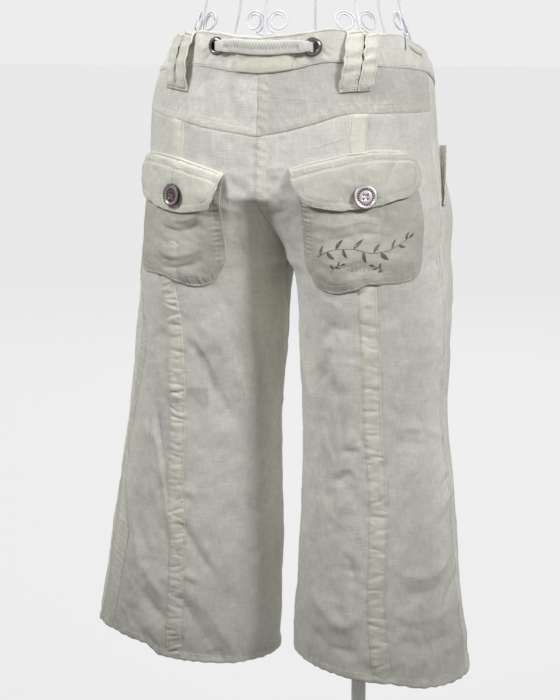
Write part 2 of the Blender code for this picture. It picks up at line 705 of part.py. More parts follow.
# ---------------------------------------------------------------- patch pockets and their flaps
POCKET_LIFT = WALL / 2 + 0.0006 + STRIP_WALL + 0.0013 + POCKET_WALL / 2
FLAP_LIFT = POCKET_LIFT + POCKET_WALL / 2 + 0.0006 + FLAP_WALL / 2


def pocket_s(side, share, z):
    """Distance from the widest line across a pocket: share 0 is its inner edge and 1 its outer edge."""
    t = np.clip((0.745 - z) / (0.745 - 0.620), -0.2, 1.2)
    (a0, a1), (b0, b1) = POCKET_IN[side], POCKET_OUT[side]
    a, b = a0 + (a1 - a0) * t, b0 + (b1 - b0) * t
    return a + (b - a) * share


nickel = material("button_metal", (0.50, 0.45, 0.45, 1.0), 0.35, 1.0)
BUTTON_PROFILE = (
    (0.0, 0.00300), (0.0055, 0.00300), (0.0072, 0.00260), (0.0086, 0.00300), (0.0105, 0.00370),
    (0.0118, 0.00330), (BUTTON_R, 0.00210), (0.0112, 0.00080), (0.0090, 0.0), (0.0, 0.0),
)


# one button is turned and drilled, and its mesh is shared by the three
blank = turned("button_blank", BUTTON_PROFILE, 20, nickel, cutters)
blank.hide_render = True
blank.display_type = "WIRE"
for k in range(4):
    a = math.radians(45 + 90 * k)
    m = Matrix.Translation((0.0026 * math.cos(a), 0.0026 * math.sin(a), 0.0015))
    cut(blank, cutter(f"button_hole_{k}", drill(0.0010, 0.009, 6), m))
bpy.context.view_layer.update()
button_mesh = bpy.data.meshes.new_from_object(blank.evaluated_get(bpy.context.evaluated_depsgraph_get()))


def button(name, matrix):
    o = bpy.data.objects.new(name, button_mesh)
    parts.objects.link(o)
    o.matrix_world = matrix
    return o


for side, word in ((1, "left"), (-1, "right")):
    drop = FLAP_DROP[side]
    share = np.array([0, 0.05, 0.12, 0.24, 0.37, 0.5, 0.63, 0.76, 0.88, 0.96, 1.0])[None, :]
    v = np.linspace(0, 1, 8)[:, None]
    top = table(FLAP, share)[..., 0] + drop - 0.0015
    foot = table(POCKET, share)[..., 0]
    z = top + (foot - top) * v
    puff = np.sin(np.pi * share) ** 0.6 * np.sin(np.pi * np.clip(v, 0, 1)) * 0.0014
    half_patch(f"back_pocket_{word}", side, pocket_s(side, share, z), z, POCKET_LIFT + puff, POCKET_WALL, cream)

    v = np.linspace(0, 1, 6)[:, None]
    top = table(FLAP, share)[..., 0] + drop
    foot = table(FLAP, share)[..., 1] + drop
    z = top + (foot - top) * v
    stand = 0.0026 * v + 0.0015 * np.sin(np.pi * v)
    gape = v**1.3 * FLAP_GAPE * np.clip((share - 0.35) / 0.65, 0, 1) ** 1.5
    gape = gape + v**1.3 * (0.0070 if side > 0 else 0.0030) * np.clip((0.16 - share) / 0.16, 0, 1)
    lift = FLAP_LIFT + stand + gape + 0.0012
    half_patch(f"pocket_flap_{word}", side, pocket_s(side, share * (1 + FLAP_OVER) - 0.002, z), z, lift, FLAP_WALL, cream)

    s_b, z_b = BUTTON_AT[side]
    sh = (pocket_s(side, 0.0, z_b) - s_b) / (pocket_s(side, 0.0, z_b) - pocket_s(side, 1.0, z_b)) / (1 + FLAP_OVER)
    t_b = float(table(FLAP, np.array([sh]))[0, 0] + drop)
    f_b = float(table(FLAP, np.array([sh]))[0, 1] + drop)
    vb = (t_b - z_b) / (t_b - f_b)
    up = (
        FLAP_LIFT + 0.0026 * vb + 0.0015 * math.sin(math.pi * vb) + 0.0012
        + vb**1.3 * FLAP_GAPE * max(0.0, (sh - 0.35) / 0.65) ** 1.5
    )
    p, n = HALF[side].at(s_b, z_b, up + FLAP_WALL / 2 + 0.0009)
    button(f"flap_button_{word}", facing(p, n))

# ---------------------------------------------------------------- side pocket welts, on the front panel beside each outseam
for side, word in ((1, "left"), (-1, "right")):
    v = np.linspace(0, 1, 7)[:, None]
    across = np.linspace(0, 1, 3)[None, :]
    z = 0.7620 + (0.7010 - 0.7620) * v + 0 * across
    s = WELT_TOP + (WELT_FOOT - WELT_TOP) * v - WELT_WIDE * across
    lift = WALL + 0.0009 + (0.0016 + 0.0064 * (1 - v) ** 0.7) * (1 - 0.85 * across)
    half_patch(f"side_pocket_welt_{word}", side, s, z, lift, WALL, linen)

# ---------------------------------------------------------------- fly and waist button
v = np.linspace(0, 1, 9)[:, None]
across = np.linspace(0, 1, 4)[None, :]
FLY_WIDE, FLY_FOOT = 0.036, 0.7160
round_off = np.clip((v - 0.70) / 0.30, 0, 1)
z = 0.7945 + (FLY_FOOT - 0.7945) * v + 0 * across
f = HALF[1].length(z)[1]
wide = FLY_WIDE * (1 - 0.75 * round_off**2)
s = -(f - 0.0012) + wide * across
half_patch("fly_placket", 1, s, z, WALL / 2 + 0.0014 + 0 * s, WALL, linen)
zb = 0.8185
lb, lf = HALF[1].length(zb)
p, n = round_at(float(lb + lf) + 0.0120, zb, 0.0034 + BAND_WALL / 2 + 0.0009)
button("waist_button", facing(p, n))

# ---------------------------------------------------------------- dress form
white = material("form_wire_white", (0.80, 0.80, 0.82, 1.0), 0.35, 0.0)
paint = material("stand_paint_white", (0.78, 0.78, 0.79, 1.0), 0.4, 0.0)


def form_at(degrees, z, inward=0.0):
    half, behind, front = table(FORM, z)
    a = math.radians(degrees)
    depth = behind if math.cos(a) > 0 else front
    return Vector((
        (half - inward) * math.sin(a), (depth - inward) * math.cos(a), z
    ))


RIB_Z = (0.7260, 0.800, 0.840, 0.862, 0.885, 0.910, 0.940, 0.980, 1.040, 1.110, 1.180, 1.240, 1.285, 1.318, 1.342, 1.362, 1.382, 1.412)
for k, deg in enumerate(RIB_AT):
    wire(f"form_rib_{k + 1}", [form_at(deg, z) for z in RIB_Z], WIRE_R, white)

IN = WIRE_R + HOOP_R + 0.0011  # hoops run inside the ribs
for name, z, n in (
    ("form_hoop_hip", FORM_LOW, 32),
    ("form_hoop_highhip", FORM_HIGH, 32),
    ("form_hoop_waist", FORM_WAIST, 28),
    ("form_hoop_bust", 1.1700, 32),
    ("form_hoop_neck", 1.4060, 20),
):
    wire(name, [form_at(360 * i / n, z, IN) for i in range(n)], HOOP_R, white, closed=True)


def scroll_pair(name, deg):
    """Two scrolls in one wire: it passes just outside a rib at its lowest point and curls up and in on both sides."""
    size = SCROLL_SIZE
    flat = []
    for i in range(13):
        t = i / 12
        ang = math.radians(-75 + 590 * t)
        r = size * (1 - 0.50 * t)
        cx, cz = size * 1.12, size * (1.0 + 0.12 * t)
        flat.append((cx - r * math.cos(ang) * 1.0, cz + r * math.sin(ang)))
    # from the inner end of the left scroll, out and down to the rib, and up into the right one
    path = [(-x, h) for x, h in reversed(flat)] + [(0.0, -0.0022)] + flat
    pts = []
    for x, h in path:
        z = SCROLL_Z + h
        base = form_at(deg, z)
        a = math.radians(deg)
        half, behind, front = table(FORM, z)
        depth = behind if math.cos(a) > 0 else front
        tangent = Vector((half * math.cos(a), -depth * math.sin(a), 0)).normalized()
        outward = Vector((tangent.y * -1, tangent.x, 0))
        if outward.dot(Vector((math.sin(a), math.cos(a), 0))) < 0:
            outward = -outward
        pts.append(base + tangent * x - outward * (WIRE_R + SCROLL_R + 0.0006 + 0.9 * x * x / 0.12))
    wire(name, pts, SCROLL_R, white)


for k, deg in enumerate(SCROLL_ON):
    scroll_pair(f"form_scroll_{k + 1}", deg)

# two pairs of bars hold the two hip hoops to the pole
for word, z_hoop in (("low", FORM_LOW), ("high", FORM_HIGH)):
    for tag, y in (("back", POLE_Y + POLE_R + HOOP_R + 0.0004), ("front", POLE_Y - POLE_R - HOOP_R - 0.0004)):
        half, behind, front = table(FORM, z_hoop)
        depth = (behind if y > 0 else front) - IN
        reach = (half - IN) * math.sqrt(max(0.0, 1 - (y / depth) ** 2)) - 0.0012
        z_bar = z_hoop + 2 * HOOP_R + 0.0004
        wire(f"form_bar_{word}_{tag}", [(-reach, y, z_bar), (0.0, y, z_bar), (reach, y, z_bar)], HOOP_R, white)

cap = turned(
    "form_cap",
    (
        (0.0, 0.0640), (0.0070, 0.0620), (0.0125, 0.0560), (0.0140, 0.0480), (0.0120, 0.0395), (0.0070, 0.0340),
        (0.0060, 0.0280), (0.0100, 0.0215), (0.0260, 0.0150), (0.0420, 0.0080), (0.0500, 0.0020), (0.0505, 0.0), (0.0, 0.0),
    ),
    32,
    paint,
)
cap.location = (0, 0.0, FORM_TOP + 0.0030)

pole_top = FORM_HIGH + 0.018
turned(
    "stand_pole",
    (
        (0.0, pole_top), (POLE_R - 0.002, pole_top), (POLE_R, pole_top - 0.002), (POLE_R, BASE_H + 0.0305),
        (0.0200, BASE_H + 0.0285), (0.0225, BASE_H + 0.0250), (0.0225, BASE_H + 0.0004), (0.0, BASE_H + 0.0004),
    ),
    24,
    paint,
).location = (POLE_X, POLE_Y, 0)
turned(
    "stand_base",
    (
        (0.0, BASE_H), (BASE_R - 0.020, BASE_H), (BASE_R - 0.008, BASE_H - 0.0015), (BASE_R - 0.002, BASE_H - 0.005),
        (BASE_R, BASE_H - 0.010), (BASE_R, 0.0012), (BASE_R - 0.0012, 0.0), (0.0, 0.0),
    ),
    48,
    paint,
).location = (POLE_X, POLE_Y, 0)
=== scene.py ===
"""The looks of the capri pants on their wire dress form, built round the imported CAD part.

Metres, +Z up, the garment's front at -Y and its left side at +X. The cloth is the same surface as in the CAD part, read by height and by distance along the cloth, with its creases added.
Every sewn piece is a fine closed shell on that surface, with stitches, hems and seams of its own.
"""

import math

import bmesh
import bpy
import numpy as np
from mathutils import Matrix, Vector


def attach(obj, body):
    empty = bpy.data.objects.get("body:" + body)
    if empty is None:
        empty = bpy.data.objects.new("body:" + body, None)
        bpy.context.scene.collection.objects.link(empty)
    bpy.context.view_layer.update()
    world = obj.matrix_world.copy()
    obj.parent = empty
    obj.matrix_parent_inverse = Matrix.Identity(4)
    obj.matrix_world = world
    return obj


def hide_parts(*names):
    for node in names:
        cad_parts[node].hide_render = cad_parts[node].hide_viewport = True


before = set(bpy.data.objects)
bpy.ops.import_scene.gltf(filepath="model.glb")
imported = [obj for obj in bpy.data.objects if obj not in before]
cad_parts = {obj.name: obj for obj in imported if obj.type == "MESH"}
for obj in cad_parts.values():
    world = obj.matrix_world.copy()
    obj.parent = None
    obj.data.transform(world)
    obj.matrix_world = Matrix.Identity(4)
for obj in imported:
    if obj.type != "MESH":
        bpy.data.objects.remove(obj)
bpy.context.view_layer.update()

# ---------------------------------------------------------------- sizes, as in the CAD part
GAP = 0.0004
WALL = 0.0013
BAND_WALL = 0.0024
FLAP_WALL = 0.0022
LOOP_WALL = 0.0018
POCKET_WALL = 0.0013
STRIP_WALL = 0.0011
TIE_WALL = 0.0016
LABEL_WALL = 0.0010
Z_CROTCH = 0.6465
Z_SEAT = 0.711
STRIP_WIDE = 0.0185
LOOP_WIDE = 0.0180
EYELET_OUT = 0.0091
EYELET_TUBE = 0.0017
EYELET_HOLE = 0.0056
BUTTON_R = 0.0122
TIE_WIDE = 0.0122
WELT_WIDE = 0.0105
WELT_TOP, WELT_FOOT = -0.0105, 0.0180
WIRE_R = 0.00125
HOOP_R = 0.00150
SCROLL_R = 0.00095
FORM_LOW, FORM_HIGH, FORM_WAIST = 0.7300, 0.8050, 0.9650
POLE_R, POLE_Y = 0.0080, 0.0180

# pelvis: height, half width, depth behind, depth in front, squareness behind, squareness in front
PELVIS = {
    1: (
        (0.895, 0.1250, 0.1120, 0.0890, 2.10, 2.10),
        (0.877, 0.1340, 0.1120, 0.0930, 2.12, 2.12),
        (0.857, 0.1435, 0.1120, 0.0965, 2.16, 2.14),
        (0.837, 0.1550, 0.1125, 0.0990, 2.20, 2.18),
        (0.822, 0.1600, 0.1140, 0.1005, 2.25, 2.20),
        (0.809, 0.1612, 0.1155, 0.1010, 2.30, 2.20),
        (0.787, 0.1615, 0.1180, 0.1020, 2.35, 2.20),
        (0.755, 0.1630, 0.1210, 0.1030, 2.35, 2.25),
        (0.722, 0.1655, 0.1235, 0.1030, 2.35, 2.30),
        (0.678, 0.1675, 0.1240, 0.1010, 2.35, 2.30),
        (0.640, 0.1690, 0.1240, 0.1000, 2.35, 2.30),
    ),
    -1: (
        (0.895, 0.1235, 0.1120, 0.0890, 2.10, 2.10),
        (0.877, 0.1315, 0.1120, 0.0930, 2.12, 2.05),
        (0.857, 0.1405, 0.1120, 0.0965, 2.16, 2.05),
        (0.837, 0.1475, 0.1125, 0.0990, 2.20, 2.05),
        (0.822, 0.1490, 0.1140, 0.1000, 2.25, 2.05),
        (0.809, 0.1500, 0.1155, 0.1010, 2.30, 2.05),
        (0.787, 0.1515, 0.1180, 0.1020, 2.35, 2.08),
        (0.755, 0.1555, 0.1210, 0.1030, 2.35, 2.10),
        (0.722, 0.1630, 0.1235, 0.1030, 2.40, 2.20),
        (0.678, 0.1735, 0.1240, 0.1010, 2.40, 2.30),
        (0.640, 0.1765, 0.1240, 0.1000, 2.40, 2.35),
    ),
}
# legs: height, inner edge, width, depth behind, depth in front, middle y, share of the loop that the leg is turned
LEG = {
    1: (
        (0.720, 0.0014, 0.1620, 0.1010, 0.1180, 0.0180, 0.000),
        (0.660, 0.0014, 0.1630, 0.1010, 0.1160, 0.0180, 0.000),
        (0.6465, 0.0014, 0.1645, 0.1005, 0.1150, 0.0180, 0.000),
        (0.632, 0.0085, 0.1590, 0.1000, 0.1130, 0.0185, 0.004),
        (0.600, 0.0120, 0.1580, 0.0970, 0.1080, 0.0195, 0.020),
        (0.542, 0.0145, 0.1640, 0.0920, 0.0990, 0.0210, 0.050),
        (0.466, 0.0180, 0.1700, 0.0870, 0.0890, 0.0220, 0.066),
        (0.380, 0.0176, 0.1836, 0.0850, 0.0850, 0.0220, 0.070),
        (0.317, 0.0155, 0.1976, 0.0860, 0.0850, 0.0220, 0.073),
        (0.253, 0.0160, 0.2100, 0.0870, 0.0860, 0.0220, 0.076),
        (0.180, 0.0150, 0.2260, 0.0880, 0.0870, 0.0220, 0.078),
    ),
    -1: (
        (0.720, 0.0014, 0.1640, 0.1010, 0.1180, 0.0180, 0.000),
        (0.660, 0.0014, 0.1690, 0.1010, 0.1160, 0.0180, 0.000),
        (0.6465, 0.0014, 0.1705, 0.1005, 0.1150, 0.0180, 0.000),
        (0.632, 0.0110, 0.1625, 0.1000, 0.1130, 0.0185, 0.000),
        (0.600, 0.0165, 0.1585, 0.0970, 0.1080, 0.0195, 0.000),
        (0.554, 0.0190, 0.1560, 0.0930, 0.1000, 0.0210, 0.000),
        (0.481, 0.0230, 0.1500, 0.0890, 0.0910, 0.0220, 0.000),
        (0.400, 0.0205, 0.1620, 0.0870, 0.0870, 0.0220, 0.000),
        (0.339, 0.0172, 0.1710, 0.0890, 0.0880, 0.0220, 0.000),
        (0.279, 0.0138, 0.1790, 0.0920, 0.0900, 0.0220, 0.000),
        (0.180, 0.0080, 0.2040, 0.0960, 0.0930, 0.0220, 0.000),
    ),
}
# crotch seam: height, y of its back half, y of its front half
CROTCH = (
    (0.6465, 0.0170, 0.0165),
    (0.6500, 0.0215, 0.0080),
    (0.6560, 0.0290, -0.0060),
    (0.6650, 0.0470, -0.0260),
    (0.6760, 0.0690, -0.0460),
    (0.6870, 0.0880, -0.0620),
    (0.6980, 0.1060, -0.0780),
    (0.7110, 0.1235, -0.1000),
)
# edges that run round the garment: distance from the centre back, height on the left half, height on the right half
BAND_TOP = (
    (0.000, 0.8770, 0.8770),
    (0.030, 0.8785, 0.8790),
    (0.055, 0.8815, 0.8815),
    (0.085, 0.8830, 0.8850),
    (0.110, 0.8820, 0.8825),
    (0.128, 0.8790, 0.8785),
    (0.160, 0.8765, 0.8795),
    (0.200, 0.8700, 0.8700),
    (0.260, 0.8540, 0.8540),
    (0.320, 0.8420, 0.8420),
    (0.400, 0.8370, 0.8370),
)
BAND_FOOT = (
    (0.000, 0.8380, 0.8380),
    (0.030, 0.8405, 0.8415),
    (0.080, 0.8460, 0.8505),
    (0.125, 0.8440, 0.8465),
    (0.200, 0.8370, 0.8405),
    (0.260, 0.8180, 0.8180),
    (0.330, 0.8020, 0.8020),
    (0.420, 0.7970, 0.7970),
)
YOKE_FOOT = (
    (0.000, 0.7742, 0.7742),
    (0.030, 0.7785, 0.7800),
    (0.057, 0.7820, 0.7870),
    (0.098, 0.7895, 0.7980),
    (0.130, 0.7945, 0.7985),
    (0.170, 0.7985, 0.7985),
    (0.240, 0.8000, 0.7985),
)
# hem: share of the way from the outseam to the inseam, left back, left front, right back, right front
HEM = (
    (0.00, 0.2172, 0.2172, 0.1955, 0.1955),
    (0.12, 0.2160, 0.2060, 0.1935, 0.1960),
    (0.25, 0.2125, 0.1960, 0.1945, 0.1945),
    (0.30, 0.2100, 0.1944, 0.1970, 0.1938),
    (0.36, 0.1990, 0.1930, 0.2010, 0.1930),
    (0.41, 0.1962, 0.1928, 0.2018, 0.1932),
    (0.48, 0.1940, 0.1925, 0.2030, 0.1940),
    (0.65, 0.1900, 0.1935, 0.2080, 0.1960),
    (0.83, 0.1905, 0.1945, 0.2110, 0.1990),
    (1.00, 0.1910, 0.1910, 0.2040, 0.2040),
)
# outseam: height, how far it lies behind the widest line on the left half and on the right half
OUTSEAM = (
    (0.895, 0.0040, 0.0040),
    (0.800, 0.0090, 0.0070),
    (0.766, 0.0150, 0.0110),
    (0.733, 0.0240, 0.0165),
    (0.700, 0.0340, 0.0200),
    (0.660, 0.0450, 0.0170),
    (0.600, 0.0530, 0.0060),
    (0.565, 0.0530, 0.0020),
    (0.534, 0.0470, 0.0000),
    (0.500, 0.0370, 0.0000),
    (0.460, 0.0215, 0.0000),
    (0.430, 0.0140, 0.0000),
    (0.390, 0.0115, 0.0000),
    (0.260, 0.0110, 0.0000),
    (0.220, 0.0060, 0.0000),
    (0.180, 0.0000, 0.0000),
)
# strip down the back leg: height, distance of its middle from the widest line, left and right
STRIP = (
    (0.800, 0.1260, 0.1100),
    (0.763, 0.1320, 0.1160),
    (0.700, 0.1300, 0.1165),
    (0.620, 0.1205, 0.1150),
    (0.530, 0.1080, 0.1065),
    (0.457, 0.1060, 0.1015),
    (0.400, 0.1075, 0.1030),
    (0.335, 0.1180, 0.1090),
    (0.234, 0.1300, 0.1175),
    (0.180, 0.1345, 0.1220),
)
# pocket flap: share of the way from its inner to its outer end, top edge, bottom edge
FLAP = (
    (0.00, 0.7430, 0.7270),
    (0.05, 0.7450, 0.7095),
    (0.16, 0.7493, 0.7033),
    (0.32, 0.7542, 0.7000),
    (0.50, 0.7592, 0.7025),
    (0.70, 0.7618, 0.7090),
    (0.88, 0.7610, 0.7165),
    (0.96, 0.7592, 0.7260),
    (1.00, 0.7550, 0.7400),
)
# patch pocket: share across, bottom edge
POCKET = (
    (0.00, 0.6480),
    (0.03, 0.6340),
    (0.12, 0.6195),
    (0.25, 0.6155),
    (0.40, 0.6200),
    (0.52, 0.6265),
    (0.72, 0.6265),
    (0.86, 0.6285),
    (0.95, 0.6360),
    (1.00, 0.6480),
)
FLAP_DROP = {1: -0.0070, -1: 0.0}
POCKET_IN = {1: (0.1990, 0.1860), -1: (0.1915, 0.1830)}
POCKET_OUT = {1: (0.0640, 0.0540), -1: (0.0590, 0.0460)}
FLAP_GAPE = 0.0012
FLAP_OVER = 0.055
BUTTON_AT = {1: (0.1410, 0.7118), -1: (0.1200, 0.7152)}
EYELET_AT = {1: (0.0500, 0.8672), -1: (0.0565, 0.8662)}
# belt loops: side, distance from the centre back (or minus that from the centre front) at the top and at the bottom, top, bottom, how far the middle stands off, tilt across
LOOPS = {
    "belt_loop_back_left_inner": (1, 0.0905, 0.0945, 0.8815, 0.8205, 0.0048, -0.0018),
    "belt_loop_back_left_outer": (1, 0.1115, 0.1140, 0.8795, 0.8225, 0.0036, -0.0010),
    "belt_loop_back_right_inner": (-1, 0.0995, 0.0930, 0.8825, 0.8205, 0.0042, -0.0014),
    "belt_loop_back_right_outer": (-1, 0.1205, 0.1135, 0.8785, 0.8215, 0.0036, -0.0008),
    "belt_loop_front_left": (1, -0.0900, -0.0900, 0.8440, 0.7830, 0.0034, 0.0),
    "belt_loop_front_right": (-1, -0.0900, -0.0900, 0.8440, 0.7830, 0.0034, 0.0),
}
LOOP_WIDTHS = {"belt_loop_back_right_outer": 0.0155}
# dress form: height, half width, depth behind, depth in front
FORM = (
    (0.730, 0.1480, 0.1040, 0.0860),
    (0.800, 0.1430, 0.1000, 0.0860),
    (0.840, 0.1370, 0.0985, 0.0850),
    (0.877, 0.1235, 0.0985, 0.0840),
    (0.910, 0.1120, 0.0930, 0.0800),
    (0.965, 0.1040, 0.0850, 0.0780),
    (1.030, 0.1120, 0.0850, 0.0880),
    (1.110, 0.1330, 0.0900, 0.1080),
    (1.170, 0.1430, 0.0940, 0.1180),
    (1.240, 0.1520, 0.0960, 0.1080),
    (1.300, 0.1580, 0.0930, 0.0850),
    (1.340, 0.1400, 0.0800, 0.0660),
    (1.365, 0.1020, 0.0640, 0.0540),
    (1.385, 0.0700, 0.0540, 0.0500),
    (1.410, 0.0560, 0.0500, 0.0480),
)
RIB_AT = (0.0, 47.0, 93.0, 127.0, 174.0, -142.0, -95.0, -50.0)
SCROLL_ON = (0.0, 47.0, 93.0, -95.0, -50.0)
SCROLL_Z = 0.8800
SCROLL_SIZE = 0.0118

